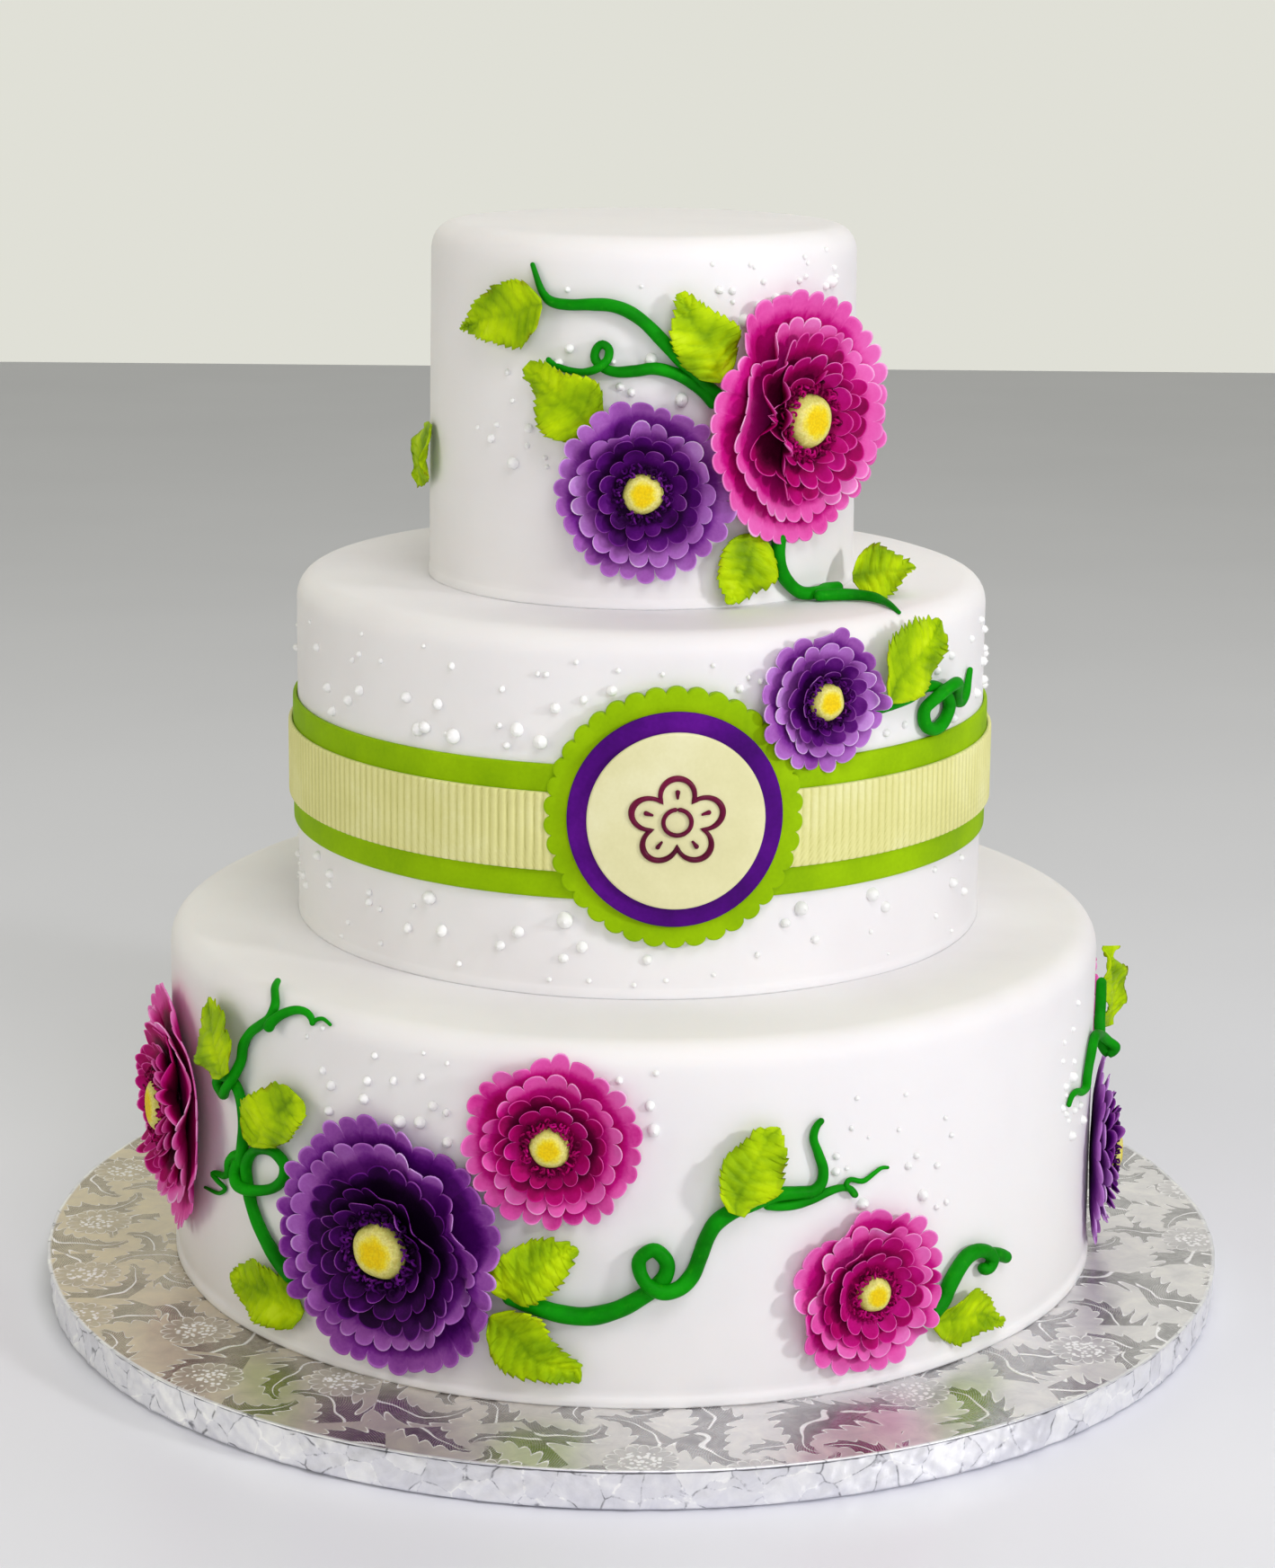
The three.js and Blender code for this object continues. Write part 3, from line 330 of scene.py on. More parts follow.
def leaf_finish(name):
    made = Finish(name, IOR=1.45, Specular_IOR_Level=0.1)
    cloudy = made.noise(85, 4)
    tone = made.spread(cloudy, 0.3, 0.7, 0.42, 0.76)
    # painted shade: darker along the veins, which lie in grooves of the leaf
    tone = made.maths("SUBTRACT", tone, made.maths("MULTIPLY", made.value("vein"), 0.1))
    tone = made.maths("ADD", tone, made.spread(made.value("shade"), -1, 1, -0.16, 0.16))
    colour = made.ramp(tone, [(0.15, "#3e6400"), (0.35, "#709600"), (0.55, "#98bc00"),
                              (0.75, "#bad800"), (0.95, "#d2ec30")])
    touch = made.maths("MULTIPLY", made.value("rim"), made.spread(made.noise(160, 3), 0.52, 0.66))
    colour = made.mix(made.maths("MULTIPLY", touch, 0.5, clamp=True), colour, "#7a5c08")
    made.bump(made.noise(420, 4), 0.22, 0.6)
    made.bump(made.noise(1300, 2), 0.05, 0.4)
    return made.finish(colour, made.spread(cloudy, 0.3, 0.7, 0.46, 0.62))


def vine_finish(name):
    made = Finish(name, IOR=1.45, Specular_IOR_Level=0.09)
    cloudy = made.noise(60, 4)
    colour = made.ramp(cloudy, [(0.3, "#036c01"), (0.5, "#068604"), (0.72, "#109c08")])
    colour = made.mix(made.spread(made.noise(420, 4), 0.6, 0.75, 0.0, 0.3), colour, "#35aa10")
    made.bump(made.noise(500, 4), 0.12, 0.6)
    made.bump(made.noise(110, 2), 0.3, 0.4)
    return made.finish(colour, made.spread(cloudy, 0.3, 0.7, 0.42, 0.6))


def paste_finish(name, stops, roughness=0.55, gloss=0.2):
    """Rolled coloured sugar paste with a soft, slightly mottled face."""
    made = Finish(name, IOR=1.45, Specular_IOR_Level=gloss)
    cloudy = made.noise(38, 4)
    grain = made.noise(700, 3)
    factor = made.maths("ADD", cloudy, made.spread(grain, 0.3, 0.7, -0.05, 0.05))
    made.bump(made.noise(90, 3), 0.25, 0.35)
    made.bump(grain, 0.07, 0.4)
    # painted shade: darker in the grooves between the ribs
    colour = made.mix(made.maths("MULTIPLY", made.value("groove"), 0.5), made.ramp(factor, stops),
                      "#a8a444")
    return made.finish(colour, made.spread(cloudy, 0.3, 0.7, roughness - 0.07, roughness + 0.07))


def foil_finish(name):
    """Silver foil stamped with round mums among lobed scrolls; its side is only crumpled."""
    made = Finish(name, Metallic=0.78)
    m = made.maths
    top = made.value("top")
    r, a = made.stamp(0.054, (0.011, 0.02, 0.0), 0.55)
    beat = m("POWER", m("ABSOLUTE", m("COSINE", m("MULTIPLY", a, 7.5))), 0.6)
    petals = made.line(m("SUBTRACT", r, m("ADD", m("MULTIPLY", beat, 4.2), 8.6)), 0.7)
    dots = made.add("TexVoronoi", {"Vector": made.object, "Scale": 520.0}).outputs["Distance"]
    dotted = m("MULTIPLY", made.step(dots, 0.5, 0.34), made.step(r, 8.0, 7.4))
    mum_lines = m("MAXIMUM", petals, dotted)
    mum = made.step(r, 13.2, 12.4)

    r2, a2 = made.stamp(0.047, (0.037, -0.008, 0.0), 0.8)
    warp = made.spread(made.noise(28, 2), 0.3, 0.7, -1.1, 1.1)
    swirl = m("ADD", m("MULTIPLY", a2, 3.0), m("MULTIPLY", m("LOGARITHM", r2, math.e), 2.6))
    arms = m("COSINE", m("ADD", swirl, warp))
    lobes = m("ABSOLUTE", m("SINE", m("ADD", m("MULTIPLY", r2, 0.62), warp)))
    leafy = m("SUBTRACT", arms, m("ADD", m("MULTIPLY", lobes, 0.75), -0.35))
    clear = m("MULTIPLY", m("SUBTRACT", 1.0, mum), made.step(r2, 2.0, 5.0))
    leaf = m("MULTIPLY", made.step(leafy, -0.03, 0.06), clear)
    leaf_lines = m("MAXIMUM", made.line(leafy, 0.11), made.step(arms, 0.991, 0.999))
    leaf_lines = m("MULTIPLY", leaf_lines, clear)
    hatch = m("MULTIPLY", made.line(m("SINE", m("MULTIPLY", r2, 3.6)), 0.5), leaf)

    bright = m("MULTIPLY", m("MAXIMUM", m("MULTIPLY", mum_lines, mum), leaf_lines), top)
    dull = m("MULTIPLY", m("SUBTRACT", leaf, m("MULTIPLY", hatch, 0.35)), top)
    fine = made.noise(900, 4)
    crush = made.noise(95, 5, 0.65, distortion=0.6)
    tone = m("ADD", 0.78, made.spread(crush, 0.3, 0.7, -0.12, 0.12))
    tone = m("SUBTRACT", tone, m("MULTIPLY", dull, 0.36))
    tone = m("SUBTRACT", tone, m("MULTIPLY", m("MULTIPLY", mum, top), 0.16))
    tone = m("ADD", tone, m("MULTIPLY", bright, 0.6))

    # the side: crumpled facets, each painted a shade of its own as if tilted to the light, parted
    # by fine creases painted lighter or darker
    side = m("SUBTRACT", 1.0, top)
    pushed = made.mix(0.985, made.add("TexNoise", {"Vector": made.object, "Scale": 45.0}
                                      ).outputs["Color"], made.object)
    facets = made.add("TexVoronoi", {"Vector": pushed, "Scale": 75.0}).outputs["Color"]
    shade = made.spread(made.add("RGBToBW", {"Color": facets}).outputs[0], 0.2, 0.8, -0.04, 0.1)
    folds = made.add("TexVoronoi", {"Vector": pushed, "Scale": 75.0},
                     feature="DISTANCE_TO_EDGE").outputs["Distance"]
    crease = m("MULTIPLY", made.line(folds, 0.035), side)
    tone = m("ADD", tone, m("MULTIPLY", shade, side))
    tone = m("ADD", tone, m("MULTIPLY", crease, made.spread(crush, 0.4, 0.6, -0.6, 0.4)))
    # painted shadow: the band of the side just under the top sheet's edge is darkened
    tone = m("SUBTRACT", tone, m("MULTIPLY", made.value("gap"), 1.1))
    colour = made.ramp(tone, [(0.0, "#626266"), (0.25, "#96969c"), (0.5, "#c4c4ca"),
                              (0.75, "#e6e6ec"), (1.0, "#ffffff")])
    # painted reflection: the top is tinted warm towards its left, as if mirroring warm
    # surroundings
    place = made.add("SeparateXYZ", {"Vector": made.object}).outputs["X"]
    painted_warm_reflection = m("MULTIPLY", made.spread(place, -0.2, 0.02, 0.75, 0.12), top)
    colour = made.mix(painted_warm_reflection, colour, "#e2cf9c", "MULTIPLY")
    colour = made.mix(m("MULTIPLY", bright, 0.85, clamp=True), colour, "#fbfbff")
    metal = m("SUBTRACT", m("ADD", 0.62, m("MULTIPLY", dull, 0.24)), m("MULTIPLY", bright, 0.5))
    made.put(made.shader.inputs["Metallic"], metal)
    rough = m("ADD", made.spread(crush, 0.3, 0.7, 0.32, 0.42), m("MULTIPLY", dull, -0.12))
    made.bump(crease, 0.3, -0.7)
    height = m("ADD", m("MULTIPLY", bright, 0.8), m("MULTIPLY", dull, 0.35))
    made.bump(height, 0.3, 0.8)
    made.bump(crush, 0.5, 0.4)
    made.bump(fine, 0.06, 0.5)
    return made.finish(colour, rough)


icing = icing_finish("white icing")
pearl_icing = paste_finish("white piped icing", [(0.3, "#ececec"), (0.5, "#f2f2f2"),
                                                 (0.72, "#f7f7f7")], 0.4, 0.4)
pink = sugar_finish("pink sugar petals", [
    (0.0, "#2c0014"), (0.15, "#6c023a"), (0.3, "#a6005e"), (0.45, "#c41084"),
    (0.6, "#de50a8"), (0.75, "#e66cbc"), (0.9, "#f09ad6"), (1.0, "#f8c6ea")])
violet = sugar_finish("violet sugar petals", [
    (0.0, "#14011c"), (0.15, "#2c033c"), (0.3, "#4f076b"), (0.45, "#71248a"),
    (0.6, "#9650a8"), (0.75, "#b06ec5"), (0.9, "#cc9cde"), (1.0, "#e6ccf0")])
eye_yellow = eye_finish("yellow sugar eye")
leaf_green = leaf_finish("lime sugar leaf")
vine_green = vine_finish("green sugar vine")
lime = paste_finish("lime ribbon paste", [(0.3, "#83ac00"), (0.5, "#8fb800"), (0.72, "#9dc604")],
                    0.6, 0.08)
cream = paste_finish("pale cream paste", [(0.3, "#dbd892"), (0.5, "#e1de9a"), (0.72, "#e8e6ac")])
cream_face = paste_finish("pale cream plaque paste", [(0.3, "#dad6a4"), (0.5, "#e0dcac"),
                                                      (0.72, "#e7e4ba")])
purple = paste_finish("purple paste", [(0.3, "#3e0264"), (0.5, "#4c0478"), (0.72, "#5e0e8c")],
                      0.6, 0.1)
burgundy = paste_finish("burgundy piping", [(0.3, "#4c0024"), (0.5, "#5e002e"),
                                            (0.72, "#740a3c")], 0.34, 0.2)
foil = foil_finish("embossed silver foil")


# ---- Tiers -----------------------------------------------------------------
def tier_piece(tier, seed, lip):
    """The iced drum: a straight wall, a rounded edge and a nearly flat top, a little uneven."""
    rng = np.random.default_rng(seed)
    top = TIERS[tier][4]
    lip_rows = [0.0, 0.7, 1.6, 2.6, 3.4, 4.4, 6.5]
    reach = np.concatenate([
        lip_rows, np.linspace(11, STRAIGHT, 18),
        STRAIGHT + BEND * np.linspace(0, 1, 9)[1:],
        STRAIGHT + BEND + np.linspace(0, top - TIER_EDGE, 14)[1:-1],
    ])
    r, a = np.meshgrid(reach, all_round(256), indexing="ij")
    wave = np.zeros_like(a)
    for _ in range(7):
        wave += rng.uniform(0.3, 1) * np.sin(
            rng.integers(2, 9) * a + rng.uniform(0.01, 0.05) * r + rng.uniform(0, TURN))
    fade = np.clip((top * 1.9 - r) / 60, 0.0, 1.0)
    lift = wave * 0.09 * fade
    if lip:
        trimmed = lip * smooth(3.9, 2.6, r) * (0.75 + 0.25 * waves(rng, a, (3, 7, 12, 19)))
        lift += trimmed - 0.35 * lip * np.exp(-((r - 4.6) / 1.0) ** 2)
    x, y, z = TIERS[tier][:3]
    form = Form()
    form.skin(on_icing(tier, np.degrees(a), r, lift), (x, y, z), (x, y, z + TIER_HEIGHT))
    form.piece("iced_tier_" + tier, icing, "icing", "tier_" + tier)


# ---- Pearls ----------------------------------------------------------------
# A pearl's rings as shares of its radius: how wide, and how far off the icing.
PEARL_PROFILE = [(1.0, -0.25), (1.04, 0.1), (1.0, 0.45), (0.86, 0.78), (0.64, 1.02),
                 (0.36, 1.17), (0.14, 1.26), (0.05, 1.36)]
PEARL_TIP, PEARL_FOOT = 1.42, -0.25
# Each pearl on the front: angle, height and radius. The places were picked on marked, flattened
# views of the photo, and a scratch script converted and printed them, all but the last seven of
# the middle tier.
PEARLS = {
    "bottom": [(-39.7, 120.1, 0.8), (-37.4, 124.7, 0.9), (-37.3, 109.3, 1.4),
        (-36.4, 95.1, 1.7), (-36, 104.7, 1.7), (-31.4, 102.6, 1.9), (-30.9, 109.4, 1.7),
        (-29.9, 119.2, 1.2), (-27.4, 111.5, 1.4), (-26.6, 97, 2.3), (-24.1, 98, 2.1),
        (-23.9, 114.5, 1.2), (-23.7, 123.1, 0.7), (-22.5, 104.7, 1.7), (-20.9, 103, 1.3),
        (-20.8, 92.3, 1.8), (-20.8, 120.7, 0.8), (-1.5, 119, 1.3), (1.9, 110.2, 1.7),
        (2.3, 101.5, 2.2), (2.5, 121.7, 1.1), (23.1, 82, 1.5), (23.2, 87.5, 1.3),
        (24.5, 82.5, 0.8), (25, 96.9, 0.9), (25.6, 107.5, 0.8), (26.6, 68.5, 2.1),
        (27.2, 92.5, 0.6), (31.2, 93.2, 0.8), (32, 105.7, 0.8), (32.6, 79, 1.3),
        (33.7, 82.3, 1.1), (34.8, 67, 2), (36.8, 76.7, 1.2), (36.9, 61, 1), (37.9, 93.5, 0.9),
        (38.4, 62, 1.1), (38.9, 86.5, 1), (61.8, 96, 1), (62.1, 102.9, 1), (62.3, 77.2, 1.3),
        (62.9, 85, 1.4), (63.3, 81.4, 1), (63.5, 74, 1.3), (64.6, 70.2, 1), (65.1, 105.2, 1.1),
        (65.3, 86.5, 2), (65.9, 63, 1.8), (65.9, 92, 1.1), (66.6, 72.5, 1.4), (66.7, 114, 1.1),
        (69.4, 71.5, 1.4), (71.2, 64, 1.7)],
    "middle": [(-74.3, 18, 1.4), (-72.1, 15.5, 1.4), (-68.5, 118, 0.6), (-65.1, 31, 1.8),
        (-64.6, 110.2, 1.4), (-60.4, 22.3, 1.3), (-60.3, 97, 1.7), (-59.9, 27, 1.7),
        (-58.6, 89, 1.7), (-56.2, 5.2, 0.9), (-54.1, 11.6, 0.9), (-53.3, 95.2, 1.9),
        (-52.2, 110.5, 1), (-50.3, 113.5, 1.1), (-50.1, 100.2, 1.8), (-49.6, 121, 0.75),
        (-48.1, 22.5, 1.4), (-48.1, 26, 1.2), (-45.5, 21, 1), (-45.3, 8.2, 1), (-44.8, 113, 1),
        (-39.1, 17, 1.7), (-39, 101.8, 2), (-37.9, 25.7, 0.9), (-36.7, 91, 2.3),
        (-35.6, 121.2, 0.8), (-35.3, 92.2, 2.2), (-34.6, 30, 2.4), (-32.8, 101.3, 1.9),
        (-32.2, 18.8, 2.1), (-31.5, 91, 0.7), (-30.3, 115.6, 1.3), (-29.9, 90.5, 2.6),
        (-29.1, 7.6, 1.1), (-22, 96.2, 1.1), (-21.8, 16.7, 1.7), (-21.5, 109.4, 1.1),
        (-20.7, 89.4, 1.3), (-19.1, 95.5, 2.4), (-18.8, 22.5, 2.1), (-15.8, 115.7, 0.9),
        (-15.3, 91.7, 2.5), (-14.4, 115.7, 1), (-13.8, 6, 0.9), (-13, 104, 1.8),
        (-11.5, 14.2, 1.7), (-11.3, 28.2, 2.9), (-9.8, 120.6, 0.9), (-8.6, 18.8, 2),
        (-8.6, 107.5, 1.4), (-7.5, 6.5, 0.9), (-4.3, 111, 1.8), (-3.4, 118.2, 0.9),
        (-0.6, 5.4, 0.9), (1.4, 14.8, 1.7), (3.3, 117, 0.8), (4.3, 7, 0.9), (11, 119.8, 0.8),
        (11.7, 8.5, 0.8), (15.2, 111.3, 1.4), (16.6, 115, 0.8), (18.5, 113.4, 1),
        (18.7, 14.7, 1), (23.3, 25.5, 1.7), (25.9, 30.2, 2.4), (28.6, 18, 1.5),
        (39.5, 17, 0.9), (39.5, 31, 2.4), (41.9, 89.5, 1.5), (42.4, 25, 1.9), (43.5, 7, 0.6),
        (46.1, 91, 1.3), (54.4, 108, 1.7), (55.5, 33, 1.1), (55.5, 119, 0.8), (56.4, 15, 1),
        (59.2, 111.5, 1.5), (60.5, 88, 1.9), (62.2, 24.5, 1.9), (62.5, 5.7, 0.8),
        (65.9, 32, 1.2), (67.7, 18, 1.5), (68.3, 114, 1.2), (72.2, 92, 1.8), (74.8, 118.5, 1.3),
        (78.8, 113.2, 1.5), (86, 100.5, 1.5), (78, 101.2, 1.8), (82, 104.5, 1.3),
        (84, 89.5, 1.5), (80.5, 93, 1.7)],
    "top": [(-48.3, 61.1, 0.8), (-42.9, 57.9, 1.5), (-41, 63, 1), (-37.5, 82.2, 1.2),
        (-35.8, 72.3, 0.9), (-35.3, 50, 2.1), (-31, 56.8, 1), (-30.6, 63, 1.6),
        (-25.7, 53, 0.9), (-25.2, 49.8, 0.9), (-22, 87, 1.5), (-19.9, 52, 1.7),
        (-19.8, 112.5, 1), (-19.1, 92, 1.6), (-7.7, 88, 0.9), (-5.9, 79.3, 1.4),
        (-3, 77.3, 1.4), (-0.7, 114.3, 0.7), (2, 89, 2.2), (9.9, 74.8, 2.4),
        (17.6, 121.9, 0.8), (19.5, 113, 1.4), (23, 112.4, 1.3), (23.3, 108.7, 0.9),
        (26.6, 102, 2.3), (28.1, 121.3, 0.8), (29.3, 120.3, 0.7), (30.8, 106.8, 1.7),
        (32.1, 115.2, 1.1), (36.1, 109.3, 1.6), (43.7, 109.8, 2), (44.1, 114.7, 1.1),
        (46.2, 122.9, 0.9), (46.5, 116, 1), (47.3, 120.7, 0.8), (55.2, 111.8, 1.4),
        (56.1, 124.7, 0.9), (57.9, 113, 2.2), (59.7, 118, 1.2), (61.1, 114.8, 1)],
}
# Drifts of pearls elsewhere: tier, heart's angle and height, spread in degrees and mm,
# count, largest and smallest radius, seed.
DRIFTS = [
    ("bottom", 150, 70, 26, 26, 30, 2.2, 0.8, 37),
    ("bottom", 232, 74, 20, 24, 28, 2.2, 0.8, 41),
    ("middle", 150, 102, 40, 10, 32, 2.4, 0.8, 43),
    ("middle", 170, 19, 50, 10, 44, 2.5, 0.8, 47),
    ("middle", 248, 102, 30, 10, 24, 2.4, 0.8, 53),
    ("middle", 262, 19, 24, 10, 20, 2.5, 0.8, 57),
    ("top", 150, 96, 34, 18, 30, 2.2, 0.7, 59),
    ("top", 238, 50, 26, 22, 24, 2.0, 0.7, 61),
]
keep_off = []  # (centre, reach) of what the scattered pearls stay clear of


def scattered(tier):
    """Angle, height and radius of the pearls that drift round the back of a tier."""
    laid = [(on_icing(tier, a, h), r) for a, h, r in PEARLS[tier]]
    for _, angle, height, wide, tall, count, large, small, seed in (
        d for d in DRIFTS if d[0] == tier
    ):
        rng = np.random.default_rng(seed)
        done = 0
        for _ in range(count * 12):
            if done == count:
                break
            away, way = rng.uniform(0, 1) ** 0.6, rng.uniform(0, TURN)
            size = large + (small - large) * min(1, rng.uniform(0, 1) ** 0.7 + 0.25 * away)
            a = angle + away * wide * math.cos(way)
            h = height + away * tall * math.sin(way)
            at = on_icing(tier, a, h)
            clear = all(np.linalg.norm(at - c) > reach + size for c, reach in keep_off)
            apart = all(np.linalg.norm(at - c) > (reach + size) * 1.15 for c, reach in laid)
            band = tier == "middle" and RIBBON[0] - size < h < RIBBON[1] + size
            if clear and apart and not band and 6 < h < STRAIGHT - 2:
                laid.append((at, size))
                done += 1
                yield a, h, size


def pearls_piece(tier):
    """All the pearls of a tier, each piped a little askew."""
    form = Form()
    rng = np.random.default_rng(len(tier))
    sides = 12
    ring = all_round(sides)
    n = len(PEARL_PROFILE)
    for a, h, size in [*PEARLS[tier], *scattered(tier)]:
        lean = rng.normal(0, 0.07, 2)
        squash = rng.uniform(0.94, 1.06)
        rows = []
        for share, rise in PEARL_PROFILE:
            across = size * squash * (share * np.cos(ring) + lean[0] * rise)
            up = size / squash * (share * np.sin(ring) + lean[1] * rise)
            rows.append(on_icing(tier, a + across / per_degree(tier), h + up, rise * size))
        tip = on_icing(tier, a + lean[0] * size / per_degree(tier), h + lean[1] * size,
                       PEARL_TIP * size)
        foot = on_icing(tier, a, h, PEARL_FOOT * size)
        form.add(np.vstack(rows + [tip[None], foot[None]]),
                 [strip(n, sides), fan(n * sides, (n - 1) * sides + np.arange(sides)),
                  fan(n * sides + 1, np.arange(sides), True)])
    form.piece("piped_pearls_" + tier, pearl_icing, "icing")


# ---- Flowers ---------------------------------------------------------------
# tier, angle, height, radius, depth, colour, tone shift. A least-squares fit gave
# the angle, height and radius of top_pink, top_violet, middle, left, front, centre and
# low, and two of the radii were then changed.
FLOWERS = {
    "top_pink": ("top", 41.4, 66.4, 44.9, 14.5, "pink", 0.0),
    "top_violet": ("top", 0.2, 42.6, 32.7, 10.5, "violet", 0.0),
    "top_back": ("top", 196, 62, 40, 13, "violet", 0.0),
    "middle": ("middle", 28.3, 105.5, 25.9, 9.5, "violet", 0.05),
    "left": ("bottom", -70.7, 68.1, 46.4, 14, "pink", 0.0),
    "front": ("bottom", -27.7, 51.9, 46.8, 13, "violet", -0.08),
    "centre": ("bottom", -8.7, 96.1, 31.5, 9.5, "pink", -0.02),
    "low": ("bottom", 27.1, 37.2, 31.3, 10, "pink", 0.03),
    "right": ("bottom", 83, 39.5, 36, 13, "violet", -0.05),
    "back_pink": ("bottom", 104, 84, 31, 11, "pink", 0.0),
    "back": ("bottom", 190, 60, 44, 13, "violet", -0.05),
}
# Each layer: share of the radius, petals, tone for pink and for violet, ruffle in mm.
LARGE_LAYERS = [(1.0, 35, 0.62, 0.6, 1.7), (0.83, 30, 0.68, 0.68, 2.6),
                (0.68, 22, 0.3, 0.26, 3.0), (0.53, 17, 0.34, 0.25, 2.4),
                (0.41, 12, 0.36, 0.27, 1.6)]
SMALL_LAYERS = [(1.0, 25, 0.62, 0.64, 1.6), (0.8, 19, 0.66, 0.7, 2.0),
                (0.635, 15, 0.3, 0.29, 1.6), (0.48, 12, 0.34, 0.29, 1.2)]
MIDDLE_LAYERS = [(1.0, 19, 0.62, 0.64, 1.5), (0.8, 16, 0.66, 0.7, 1.8),
                 (0.62, 12, 0.3, 0.29, 2.4), (0.43, 10, 0.34, 0.25, 1.6)]
LOW_LAYERS = [(1.0, 22, 0.62, 0.6, 2.0), (0.82, 18, 0.66, 0.68, 2.2),
              (0.655, 14, 0.3, 0.26, 1.8), (0.49, 12, 0.34, 0.25, 1.0)]
# Folds of whole stretches of a layer: layer, way round in degrees, half width, mm of lift.
FOLDS = {
    "front": [(0, 48, 16, -3.5), (0, 72, 12, 2.6), (1, 66, 9, 2.5), (1, 44, 9, -3.5),
              (1, 24, 14, 3.4), (1, -14, 7, -3), (1, -42, 16, 2.6), (2, 112, 14, 3.4),
              (2, 62, 15, -2), (2, 20, 12, 2.6), (3, 30, 22, 3), (3, 80, 16, 2.2),
              (3, 150, 12, 2), (4, 45, 22, 2.4), (2, -120, 14, 2.4), (0, -100, 10, 2.2)],
    "top_pink": [(0, 140, 14, 3), (0, -150, 16, 2.5), (1, 128, 9, 4.4), (1, 175, 26, 3),
                 (1, -125, 16, 2), (2, 178, 18, 6), (2, 128, 12, 3.5), (2, -128, 14, 3.2),
                 (3, 150, 16, 4.4), (3, -150, 18, 4), (3, 40, 14, 1.6), (4, 172, 24, 1.4),
                 (4, -70, 20, 2.4), (4, 95, 14, 2.4), (1, 40, 20, 1.2), (1, 70, 14, 1.4)],
    "low": [(0, 118, 14, 3.6), (0, 70, 12, 2.4), (0, -165, 14, 2.2), (1, 160, 14, 3),
            (1, 80, 10, 2.6), (1, -110, 14, 2.2), (2, 120, 20, 1.6), (0, 10, 12, 2)],
    "centre": [(0, 175, 16, 2.4), (0, 110, 12, 2), (1, 150, 16, 2.8), (1, 60, 12, 2),
               (1, -150, 14, 2), (2, 170, 18, 2), (2, 60, 14, 1.6), (0, -40, 14, 2)],
    "top_violet": [(0, 75, 22, 2.2), (0, 10, 14, -1.4), (1, 112, 12, 2.8), (1, 62, 12, 2.6),
                   (1, 150, 10, 1.8), (2, -160, 18, 1.6), (1, 20, 12, 2), (0, -150, 16, 1.8)],
    "left": [(1, 0, 20, 3), (1, 90, 14, 3), (1, -80, 16, 3), (2, 30, 14, 2.6),
             (2, -120, 16, 3), (0, 60, 12, 2.6), (0, -30, 10, 2.6), (3, -50, 14, 2.6)],
    "middle": [(0, 95, 14, 2), (1, -150, 14, 2), (1, 50, 14, 1.8), (0, -60, 12, 1.8)],
}
EYE_SHARE = 0.212  # of the flower's radius
EYES = {"middle": 0.245, "low": 0.2}  # where the eye's share is another
LARGE_RADIUS = 38  # beyond it a flower has five layers and more curls
FINE_RADIUS = 45  # the radius of flower that the smallest sizes are given for
# Each ring of curls round the eye: its place and lift as shares of the flower's radius
# and depth, and its lowest and highest tone.
CURL_RINGS = [(0.244, 0.82, 0.14, 0.42), (0.278, 0.81, 0.1, 0.4), (0.31, 0.74, 0.04, 0.34)]
UPPER_ROWS = np.array([0, 0.3, 0.5, 0.64, 0.75, 0.83, 0.9, 0.945, 0.972, 0.986, 1.0])
LOWER_ROWS = np.array([0, 0.6, 0.88, 1.0])
PETAL_STATIONS = np.array([0, 0.045, 0.12, 0.22, 0.36, 0.5, 0.64, 0.78, 0.88, 0.955])


def flower_point(flower, r, a, lift):
    """Points in a flower's own flat plane: mm out, radians round, mm off the icing."""
    tier, angle, height = flower[:3]
    centre = on_icing(tier, angle, height, lift)
    side = np.array([math.cos(math.radians(angle)), math.sin(math.radians(angle)), 0])
    return centre + (r * np.cos(a))[..., None] * side + (r * np.sin(a))[..., None] * (0, 0, 1)


def guests(flower):
    """What ends under a flower: flat place in the flower's own plane, reach and top lift in mm."""
    tier, angle, height, radius = flower[:4]
    scale = per_degree(tier)
    found = []
    for leaf_tier, a, h, tip_a, tip_h, base_lift, *_ in LEAVES.values():
        if leaf_tier == tier:
            for along in (0.0, 0.1, 0.2):
                x = (a + (tip_a - a) * along - angle) * scale
                y = h + (tip_h - h) * along - height
                found.append((x, y, 5.0 + 25 * along, base_lift + 1.4))
    for ropes in VINES.values():
        for rope_tier, spots, radii in ropes:
            if rope_tier == tier:
                for place, (a, h, *_) in enumerate(spots):
                    radius_here = np.interp(place / (len(spots) - 1),
                                            np.linspace(0, 1, len(radii)), radii)
                    found.append(((a - angle) * scale, h - height, 5.5, 2 * radius_here + 0.8))
    return [g for g in found if 0.45 * radius < math.hypot(g[0], g[1]) < radius + 1.5]


